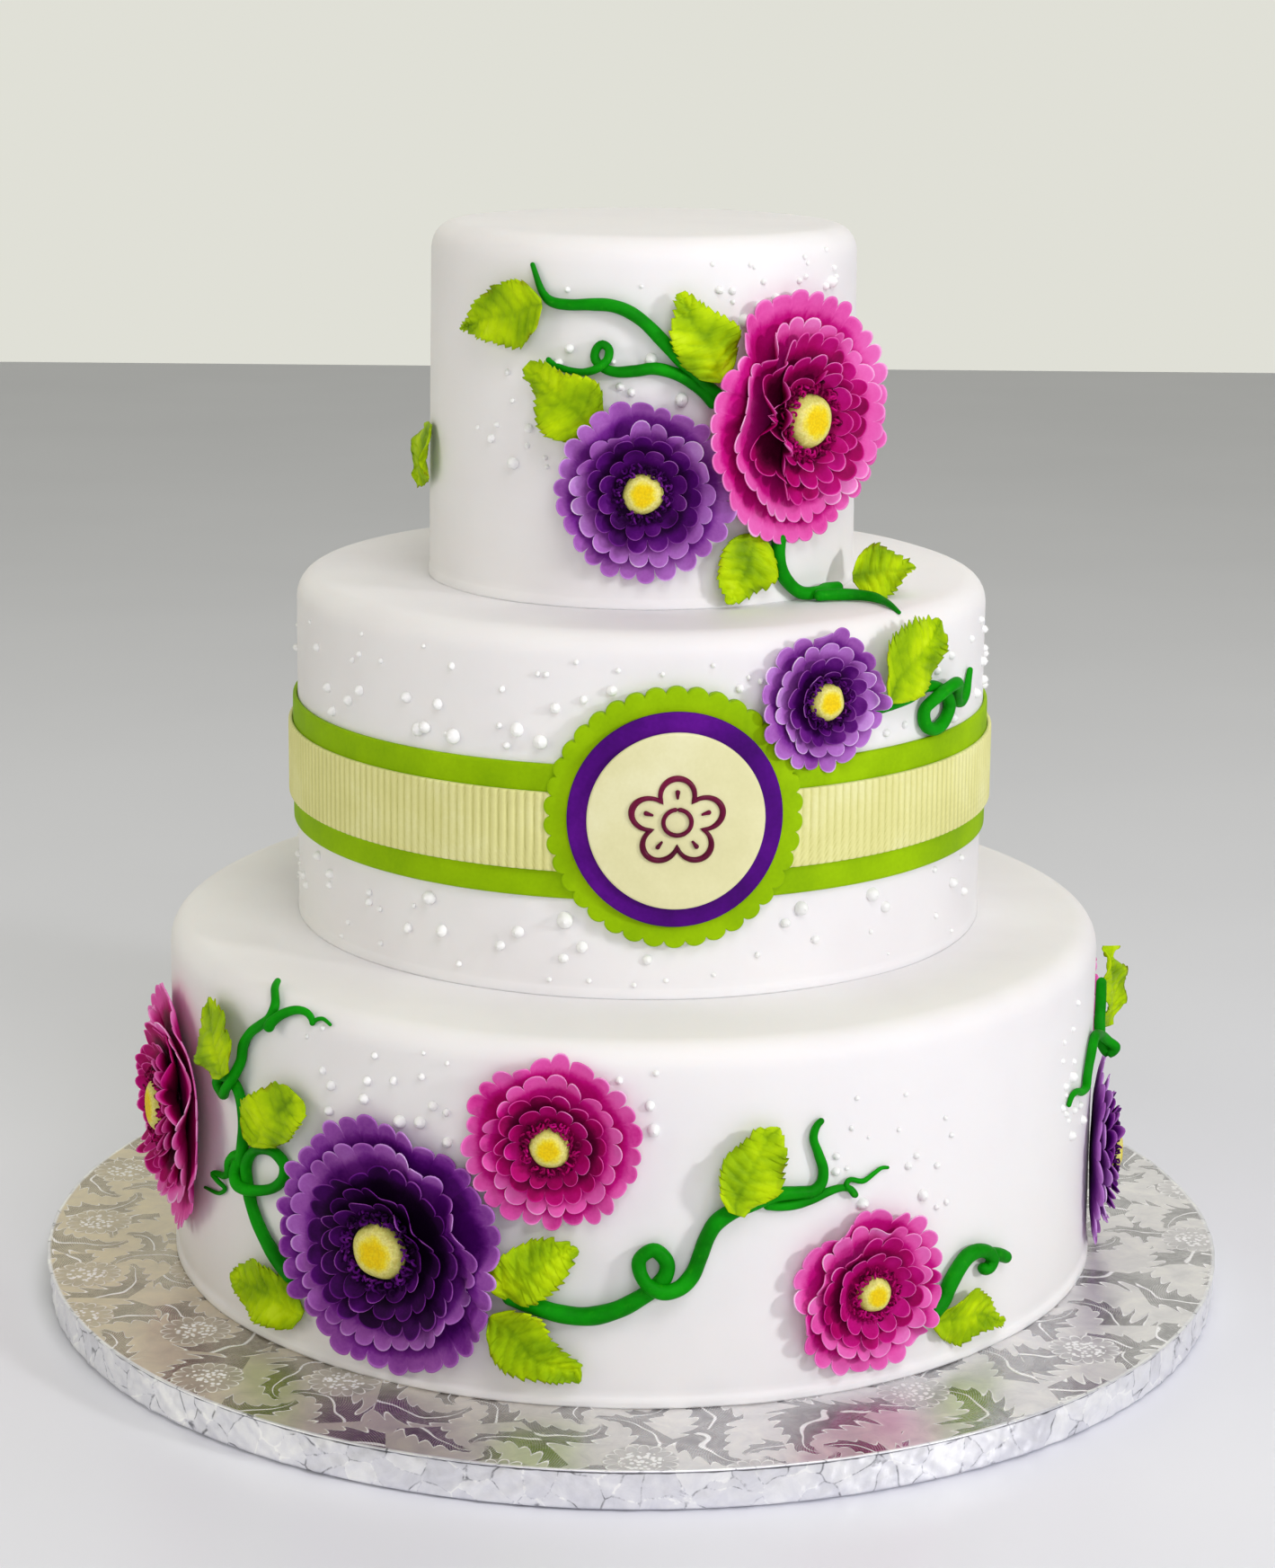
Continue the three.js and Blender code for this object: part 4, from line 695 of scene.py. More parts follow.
def sugar_disc(form, flower, share, covered, petals, tone, ruffle, rng, below, folds, under):
    """One thin disc cut into round petals, cupped and folded. Returns its face as lift(r, a)."""
    _, _, _, radius, depth = flower[:5]
    per_petal = len(PETAL_STATIONS)
    columns = petals * per_petal
    widths = 1 + rng.uniform(-0.17, 0.17, petals)
    ends = np.concatenate([[0], np.cumsum(widths)]) / widths.sum() * TURN
    stage = np.tile(PETAL_STATIONS, petals)
    which = np.repeat(np.arange(petals), per_petal)
    a = ends[which] + stage * (ends[which + 1] - ends[which]) + rng.uniform(0, TURN)
    beat = np.sqrt(np.clip(1 - np.abs(2 * stage - 1) ** 2.1, 0, 1))
    width = TURN * radius * share / petals
    notch = 0.42 * width / radius
    reach = rng.uniform(-1, 1, petals)[which]
    lean = rng.uniform(-1, 1, petals)[which]
    rise = rng.uniform(-1, 1, petals)[which]
    # neighbouring petals hang together in twos and threes, so their rises run on
    rise = 0.35 * rise + 0.9 * waves(rng, a, (5, 8, 11), 1.0)
    swell = waves(rng, a, (2, 3, 4, 5, 7), ruffle)
    bent = np.zeros(columns)
    for way, half, height in folds:
        off = (a - math.radians(way) + math.pi) % TURN - math.pi
        hump = 1.25 * height * np.exp(-(off / math.radians(half)) ** 2)
        swell, bent = swell + hump, bent + np.abs(hump)
    sweep = share + share * waves(rng, a, (1, 2, 3, 5), 0.03)
    # a stretch that is bent up or down reaches less far out
    sweep = sweep - (swell ** 2 / (0.75 * radius * share) + 0.8 * bent) / radius
    uneven = 2.0 if share == 1.0 else 1.0
    outline = sweep - notch * (1 - beat) * (1 + 0.2 * uneven * lean)
    outline = outline + 0.016 * uneven * reach * beat
    core = 0.12
    rim_lift = depth * min(0.99, 0.36 + (1 - share) * 1.02)
    core_lift = depth * min(0.72, 0.08 + (1 - share) * 0.66)

    def face(rho):
        rho = rho[:, None]
        r = radius * (core + (outline - core) * rho)
        # the disc rises evenly all round, whether a petal or a notch lies ahead
        out = np.clip((r / radius - core) / (sweep - core), 0, 1.04)
        lift = core_lift + (rim_lift - core_lift) * (0.22 * out + 0.78 * out ** 3.2)
        lift = lift + swell * out ** 2.6
        tip = smooth(0.84, 1.0, out)
        lift = lift + (0.1 + 0.4 * rise) * beat * tip * (radius / FINE_RADIUS) ** 0.5
        lift = lift + 0.3 * lean * (2 * stage - 1) * beat * tip
        angle = np.broadcast_to(a, r.shape)
        for x, y, wide, top in under:
            away = np.hypot(r * np.cos(angle) - x, r * np.sin(angle) - y) / wide
            lift = lift + np.maximum(0, top + 0.9 - lift) * np.exp(-away ** 4)
        if flower[0] == "middle" and under:
            scale = per_degree("middle")
            x = r * np.cos(angle) + (flower[1] - PLAQUE_ANGLE) * scale
            y = r * np.sin(angle) + flower[2] - PLAQUE_HEIGHT
            over = smooth(PLAQUE_RADIUS + 5, PLAQUE_RADIUS - 0.5, np.hypot(x, y))
            lift = lift + np.maximum(0, PLAQUE_TOP + 1.4 - lift) * over
        if below is not None:
            lift = np.maximum(lift, below(r, angle) + 0.85)
        return r, angle, np.clip(lift, 1.0, depth + 3.4)

    r, around, lift = face(UPPER_ROWS)
    upper = flower_point(flower, r, around, lift)
    low_r, low_around, low_lift = face(LOWER_ROWS)
    thick = (0.8 - 0.25 * smooth(0.7, 1, LOWER_ROWS))[:, None]
    lower = flower_point(flower, low_r, low_around, low_lift - thick)
    rows, low_rows = len(UPPER_ROWS), len(LOWER_ROWS)
    n = rows * columns
    j = np.arange(columns)
    k = (j + 1) % columns
    edge, low_edge = (rows - 1) * columns, n + (low_rows - 1) * columns
    rim = np.stack([edge + j, low_edge + j, low_edge + k, edge + k], axis=-1)
    hole = np.stack([j, k, n + k, n + j], axis=-1)
    patch = waves(rng, a, (2, 3, 5), 0.07)
    # random patches and petal tones, with petals that rise painted paler, as light falling on
    # their curve
    patchy_tone_and_painted_light = 0.07 * rise * beat + 0.03 * reach + patch
    # the first number is a painted highlight along each petal's edge, the second a painted shade
    # under the next disc
    light, painted_shade = (0.22, 0.24) if tone > 0.5 else (0.36, 0.17)
    hidden = covered * radius + waves(rng, a, (3, 5, 8), 0.5)

    def shading(rho):
        """Deeper colour painted as shade where the next disc covers this one, and a pale fine edge
        painted as a highlight.
        """
        rho = rho[:, None]
        from_middle = radius * (core + (outline - core) * rho)
        shade = tone + patchy_tone_and_painted_light * rho ** 2 - painted_shade * smooth(hidden + 2.4, hidden - 1.0, from_middle)
        return shade + light * (1 + 0.4 * lean) * smooth(0.965, 1.0, rho)

    form.add(np.concatenate([upper.reshape(-1, 3), lower.reshape(-1, 3)]),
             [strip(rows, columns, flip=True), strip(low_rows, columns) + n, rim, hole],
             tone=np.concatenate([shading(UPPER_ROWS).reshape(-1),
                                  shading(LOWER_ROWS).reshape(-1) - 0.05]))
    order = np.argsort(a % TURN)
    turned = (a % TURN)[order]

    def surface(radial, angular):
        """Lift of this disc's face at other points, read along the nearest column."""
        column = order[np.searchsorted(turned, angular % TURN) % columns]
        column = np.broadcast_to(column, radial.shape)
        result = np.empty(radial.shape)
        lines, sheets = r.T[column], lift.T[column]
        for row in range(rows - 1):
            low, high = lines[..., row], lines[..., row + 1]
            share_in = np.clip((radial - low) / np.maximum(high - low, 1e-6), 0, 1)
            value = sheets[..., row] + share_in * (sheets[..., row + 1] - sheets[..., row])
            result = value if row == 0 else np.where(radial >= low, value, result)
        return np.where(radial > lines[..., -1] + 0.5, result - 2.0, result)

    return surface


def fringe(form, flower, count, place, lift, rng, tones):
    """A ring of tight little curls of sugar, each a broken loop turned its own way."""
    radius = flower[3]
    arc, sides = 10, 6
    small = (radius / FINE_RADIUS) ** 0.5
    for i in range(count):
        a = (i + rng.uniform(-0.45, 0.45)) / count * TURN
        r = radius * place + rng.uniform(-0.5, 0.5) * small
        size = rng.uniform(1.05, 1.6) * small
        tube = rng.uniform(0.4, 0.52) * small
        height = lift + rng.uniform(-0.6, 0.7)
        centre = flower_point(flower, np.array(r), np.array(a), height)
        out = flower_point(flower, np.array(r), np.array(a), height + 1) - centre
        away = flower_point(flower, np.array(r + 1), np.array(a), height) - centre
        side = np.cross(out, away)
        lean = rng.uniform(-1.4, 1.4)
        u = away * math.cos(lean) + side * math.sin(lean)
        v = out * rng.uniform(0.2, 1.0) + side * rng.uniform(-1.0, 1.0)
        v = unit(v - u * np.dot(u, v))
        n = np.cross(u, v)
        theta = rng.uniform(0, TURN) + np.linspace(0, rng.uniform(3.8, 5.4), arc)
        phi = all_round(sides)
        spin = size * (1 - 0.35 * np.linspace(0, 1, arc))
        radial = np.cos(theta)[:, None] * u + np.sin(theta)[:, None] * v
        line = centre + spin[:, None] * radial
        rings = (line[:, None] + tube * (np.cos(phi)[None, :, None] * radial[:, None]
                                         + np.sin(phi)[None, :, None] * n))
        form.skin(rings, line[0], line[-1], True, tone=rng.uniform(*tones))


def flower_pieces(name, seed):
    """A flower's petals with the curls round its eye, and then the eye."""
    flower = FLOWERS[name]
    tier, angle, height, radius, depth, colour, shift = flower
    rng = np.random.default_rng(seed)
    large = radius > LARGE_RADIUS
    layers = {"middle": MIDDLE_LAYERS, "low": LOW_LAYERS}.get(
        name, LARGE_LAYERS if large else SMALL_LAYERS)
    form = Form()
    below = None
    under = guests(flower)
    for index, (share, petals, pink_tone, violet_tone, ruffle) in enumerate(layers):
        tone = (pink_tone if colour == "pink" else violet_tone) + shift
        folds = [fold[1:] for fold in FOLDS.get(name, ()) if fold[0] == index]
        covered = layers[index + 1][0] if index + 1 < len(layers) else 0.3
        below = sugar_disc(form, flower, share, covered, petals, tone, ruffle * depth / 13, rng,
                           below, folds, under if index < 2 else ())
    eye_share = EYES.get(name, EYE_SHARE)
    wider = eye_share - EYE_SHARE
    for place, lift, low, high in CURL_RINGS:
        fringe(form, flower, 27 if large else 22, place + wider, depth * lift, rng, (low, high))
    material = pink if colour == "pink" else violet
    form.piece("sugar_flower_" + name, material, "petal_" + colour, "flower_" + name)
    keep_off.append((on_icing(tier, angle, height), radius))
    eye_piece(name, flower, radius * eye_share, rng)


def eye_piece(name, flower, eye, rng):
    """A low dome covered with grains, coarser towards its heart."""
    depth = flower[4]
    columns, rows = 80, 18
    a = all_round(columns)
    share = np.concatenate([[1.0, 1.04], np.linspace(1.0, 0.05, rows - 2)])
    rho, around = np.meshgrid(share, a, indexing="ij")
    base = depth * 0.66
    dome = base + (depth * 1.02 - base) * np.sqrt(np.clip(1 - (rho * 0.97) ** 2.8, 0, 1))
    dome[0] = base - 1.5
    dome[1] = base + 0.1
    dimple = -0.35 * np.exp(-(rho / 0.35) ** 2)
    grains = 0.06 * np.sin(around * np.maximum(6, np.round(34 * rho))) * np.cos(rho * 46)
    lift = dome + (dimple + grains) * (rho < 1.0)
    outline = 1 + waves(rng, a, (2, 3, 5), 0.035)
    points = flower_point(flower, eye * rho * outline, around, lift)
    heart = smooth(0.92, 0.3, rho)
    centre = flower_point(flower, np.zeros(1), np.zeros(1), np.array([lift[-1].mean()]))
    bottom = flower_point(flower, np.zeros(1), np.zeros(1), np.array([base - 1.5]))
    n = columns * rows
    form = Form()
    form.add(np.vstack([points.reshape(-1, 3), centre, bottom]),
             [strip(rows, columns, flip=True), fan(n, n - columns + np.arange(columns)),
              fan(n + 1, np.arange(columns), True)],
             heart=np.concatenate([heart.reshape(-1), [1.0, 0.0]]))
    form.piece("sugar_eye_" + name, eye_yellow, "eye_yellow", "eye_" + name)


# ---- Leaves ----------------------------------------------------------------
# tier, base angle and height, tip angle and height, base and tip lift, and a cant if it has one
LEAVES = {
    "top_left": ("top", -25, 107.5, -52, 96, 5, 3.5),
    "top_mid": ("top", 19, 82, 9.2, 113, 6.4, 4.4),
    "top_low": ("top", -11.5, 64, -28.5, 86.5, 5, 6),
    "top_foot": ("top", 30, 26, 21.5, 2, 3.4, 3.4),
    "top_edge": ("top", -72, 57, -84, 33, 2, 4),
    "middle": ("middle", 39.2, 104, 51, 128, 7.2, 5.4),
    "left_high": ("bottom", -52, 97, -58, 120, 7.5, 3),
    "left_mid": ("bottom", -45, 73, -41, 101, 6.4, 4),
    "left_low": ("bottom", -40, 16.1, -52.5, 24.1, 2.8, 3.8),
    "centre_up": ("bottom", -15, 44.5, -5.7, 60, 8, 4.6),
    "centre_low": ("bottom", -15, 34, -5.4, 10.7, 6.6, 3),
    "centre_high": ("bottom", 11, 73, 15.6, 102, 7.6, 3),
    "right_low": ("bottom", 36.2, 20.2, 48, 10.2, 2.2, 2.8),
    "edge": ("bottom", 86.5, 86, 85, 120, 5.4, 5.4, 3),
    "back_high": ("bottom", 172, 84, 166, 116, 6.2, 4.4),
    "back_low": ("bottom", 208, 40, 218, 22, 4, 3),
}
# How far the left and the right edge stand off the leaf's axis, base to tip in
# ten equal steps. A minus sign is an edge that has crossed the axis.
PLAIN_LEAF = [
    [1.5, 7.5, 10.5, 12, 12, 11, 9.5, 7.3, 5, 2.6, 0.3],
    [1.5, 7.2, 10, 11.5, 12, 11.4, 10, 7.8, 5.2, 2.6, 0.3],
]
# The same for the leaves that show their outline. A scratch script measured and printed
# these half widths from a colour mask on the flattened photo, and they were then rounded
# and smoothed by hand.
LEAF_EDGES = {
    "top_left": [
        [1, 7.9, 10.4, 13, 11.8, 9.6, 7.6, 5.9, 3.9, 1.4, 0.2],
        [2, 9.5, 11.3, 11.4, 11.2, 9.6, 8.2, 6.1, 3.2, 2, 0.4],
    ],
    "top_mid": [
        [1.7, 7.1, 8.8, 10.8, 10.8, 11, 10.8, 9.2, 6.3, 4.2, 2.4],
        [1.5, 6.5, 9.5, 11.2, 11.9, 11.4, 9, 6.6, 4.6, 2.8, 1],
    ],
    "top_low": [
        [3, 9, 11, 12.8, 12.8, 11.2, 9.2, 7, 5.4, 4.6, 2.5],
        [3, 8.6, 12, 13.8, 13.4, 11.5, 9, 7.5, 6.8, 5, 2],
    ],
    "top_foot": [
        [2, 7.1, 9.2, 10.8, 11.6, 11.6, 11, 9.2, 7, 3.9, 0.5],
        [2, 7.6, 9.8, 10.8, 10.8, 10.8, 9.8, 8.8, 6.8, 3.8, 0.5],
    ],
    "middle": [
        [2, 7.5, 13, 15.2, 14.2, 12.2, 10, 7.2, 4, 1, -2.6],
        [3, 7, 9.8, 11.2, 11.6, 11.2, 10.2, 8.4, 6.8, 5.2, 3.8],
    ],
    "left_high": [
        [1, 7.7, 10, 12, 13.5, 14, 11.4, 9.2, 5.6, 1, -1],
        [4, 8.3, 12, 14, 15, 15, 14.5, 13, 10.5, 7, 3],
    ],
    "left_mid": [
        [7.5, 9.2, 13.2, 16.6, 17, 15.3, 13.2, 12.1, 9.8, 7.9, 2],
        [-5.5, -1, 3.4, 5.2, 7.9, 9.8, 11.1, 11.4, 11.8, 11.2, 7],
    ],
    "left_low": [
        [1, 7.6, 10, 10.8, 11.6, 12.6, 12.4, 12.4, 9, 8.4, 6],
        [2, 5, 8.5, 11, 12.8, 13, 12.6, 9.4, 5.4, 1.2, -3.4],
    ],
    "centre_up": [
        [1.5, 6.9, 9, 9.6, 9.9, 9.6, 9.7, 9.2, 8.2, 5, 0.5],
        [2.5, 8, 9.8, 10.4, 10.6, 10.4, 9.4, 7.8, 5.8, 3.1, 1],
    ],
    "centre_low": [
        [1, 7.5, 10.8, 12, 10.2, 6.8, 5.6, 5.8, 5.7, 5.4, 0.5],
        [1.5, 8, 10.8, 12.6, 13.7, 13.2, 11, 7.7, 5.3, 2.4, 0.8],
    ],
    "centre_high": [
        [3, 8, 10.4, 11.9, 12.6, 12.2, 10.8, 9.8, 8.7, 7.2, -0.4],
        [3, 4.6, 6.8, 9.4, 10.6, 9.7, 8.3, 7.1, 6.1, 4, 1.6],
    ],
    "right_low": [
        [1, 5, 8, 11.2, 12.6, 11.2, 9.6, 7.3, 4.5, 1.6, 0.4],
        [2, 6.6, 7.8, 9, 10, 6.2, 3.9, 3.1, 2.4, 2.2, 0.5],
    ],
}
RUFFLES = {"edge": 3.2, "left_high": 1.3, "top_edge": 2.0, "right_low": 1.5}  # elsewhere 1
LEAF_CLEARANCE, VINE_CLEARANCE = 12, 4  # what pearls leave clear round a leaf or a vine's spot


def blade(length, edges, base_lift, tip_lift, cant, place, seed, ruffle=1.0):
    """A serrated, veined and crinkled leaf over a map from (across, along, lift) to points."""
    rng = np.random.default_rng(seed)
    rows, half_columns = 120, 8
    t = np.linspace(0, 1, rows)
    s = np.linspace(-1, 1, 2 * half_columns + 1)
    s = np.sign(s) * np.abs(s) ** 0.85
    stations = np.linspace(0, 1, len(edges[0]))
    soft = np.array([1, 2, 3, 2, 1]) / 9
    sides = []
    ahead = []
    for outline in edges:
        half = np.interp(t, stations, outline)
        half = np.convolve(np.pad(half, 2, mode="edge"), soft, "valid")
        count = round(length / 2.5)
        ends = np.concatenate([[0], np.cumsum(1 + rng.uniform(-0.45, 0.45, count))])
        ends = ends / ends[-1] + rng.uniform(-0.02, 0.02)
        tooth = np.clip(np.searchsorted(ends, t, side="right") - 1, 0, count - 1)
        stage = np.clip((t - ends[tooth]) / (ends[tooth + 1] - ends[tooth]), 0, 1)
        depth = rng.uniform(0.6, 1.7, count)[tooth] * smooth(0.04, 0.15, t) * smooth(1.0, 0.93, t)
        sides.append(half + depth * (stage - 0.62) + 0.05 * rng.normal(0, 1, rows))
        ahead.append(0.8 * depth * stage)
    t2, s2 = np.meshgrid(t, s, indexing="ij")
    reach = np.abs(s2)
    left, right = -sides[0][:, None], sides[1][:, None]
    middle = (right + left) / 2
    middle = middle + 0.4 * np.sin(4 * t2 + seed)
    across = middle + np.where(s2 < 0, (middle - left) * s2, (right - middle) * s2)
    forward = np.where(s2 < 0, ahead[0][:, None], ahead[1][:, None]) * reach ** 5
    along = t2 * length + forward
    body = smooth(0.0, 0.12, t2) * smooth(1.0, 0.86, t2)
    lift = base_lift + (tip_lift - base_lift) * t2 + 1.2 * np.sin(math.pi * t2)
    lift = lift - s2 * (0.7 * np.sin(5 * t2 + 1) - cant)
    lift = lift + (0.9 * reach - 0.45) * body
    veins = length / 4.6
    slant = (t2 - 0.16 * reach) * veins + (s2 > 0) * 0.45 + 0.25 * np.sin(6 * t2 + seed)
    wave = np.cos(TURN * slant)
    cushion = np.sin(math.pi * np.clip(reach, 0, 1) ** 0.7)
    lift = lift - 0.4 * np.exp(-(s2 / 0.08) ** 2) * body
    lift = lift - (0.5 * (0.5 + 0.5 * wave) ** 6 + 0.12 * wave) * cushion * body
    for edge in (-1, 1):
        curl = waves(rng, t * 5.2, (1, 1.7, 2.6), 1.7 * ruffle)[:, None]
        lift = lift + np.where(s2 * edge > 0, curl * reach ** 2.0, 0) * body
        flick = waves(rng, t * 6.0, (4, 6, 9), 0.3)[:, None]
        lift = lift + np.where(s2 * edge > 0, flick * reach ** 5, 0)
    lift = lift + waves(rng, t * 3.0, (1, 2), 0.5)[:, None] * body
    lift = lift + 0.55 * np.sin(t2 * 9 + s2 * 3.3 + seed) * body * reach
    lift = lift + 0.22 * np.sin(t2 * 23 - s2 * 7 + seed) * body * reach
    thick = 0.85 - 0.4 * reach ** 3
    upper = place(across, along, lift + 0.5 + thick * 0.5)
    lower = place(across, along, lift + 0.5 - thick * 0.5)
    columns = len(s)
    n = rows * columns
    points = np.concatenate([upper.reshape(-1, 3), lower.reshape(-1, 3)])
    i = np.arange(rows - 1)
    near = np.stack([i * columns, (i + 1) * columns, n + (i + 1) * columns, n + i * columns], -1)
    far = near + columns - 1
    j = np.arange(columns - 1)
    foot = np.stack([j, j + 1, n + j + 1, n + j], axis=-1)
    tip = foot + (rows - 1) * columns
    side_veins = 0.8 * (0.5 + 0.5 * wave) ** 12 * (reach > 0.06) * (1 - 0.4 * reach)
    vein = np.maximum(np.exp(-(s2 / 0.06) ** 2), side_veins)
    rim = smooth(0.78, 1.0, reach)
    shade = np.sin(t2 * 7 + s2 * 3 + seed) * 0.6
    form = Form()
    form.add(points,
             [strip(rows, columns, False, flip=True), strip(rows, columns, False) + n,
              near, far[:, ::-1], foot[:, ::-1], tip],
             vein=np.tile(vein.reshape(-1), 2), rim=np.tile(rim.reshape(-1), 2),
             shade=np.tile(shade.reshape(-1), 2))
    return form


def wall_leaf(name, seed):
    """A leaf laid along a tier's icing from its base to its tip."""
    tier, angle, reach, tip_angle, tip_reach, base_lift, tip_lift, *cant = LEAVES[name]
    scale = per_degree(tier)
    run, rise = (tip_angle - angle) * scale, tip_reach - reach
    length = math.hypot(run, rise)
    ux, uy = run / length, rise / length

    def place(across, along, lift):
        a = angle + (along * ux + across * uy) / scale
        return on_icing(tier, a, reach + along * uy - across * ux, np.maximum(lift, 0.5))

    form = blade(length, LEAF_EDGES.get(name, PLAIN_LEAF), base_lift, tip_lift,
                 cant[0] if cant else 0, place, seed, RUFFLES.get(name, 1.0))
    form.piece("sugar_leaf_" + name, leaf_green, "leaf_green", "leaf_" + name)
    centre = on_icing(tier, (angle + tip_angle) / 2, (reach + tip_reach) / 2)
    keep_off.append((centre, LEAF_CLEARANCE))


def ledge_leaf(seed):
    """The small leaf that stands free on the middle tier's top."""
    length = 24
    base = np.array([78.5, -49, 283.6])
    along = unit(np.array([0.97, 0.2, 0.12]))
    across = unit(np.array([-0.08, 0.72, 0.69]))
    out = unit(np.cross(along, across))

    def place(aside, ahead, lift):
        return (base - aside[..., None] * across + ahead[..., None] * along
                + lift[..., None] * out)

    form = blade(length, PLAIN_LEAF, 0, 0, 0, place, seed)
    form.piece("sugar_leaf_ledge", leaf_green, "leaf_green", "leaf_ledge")


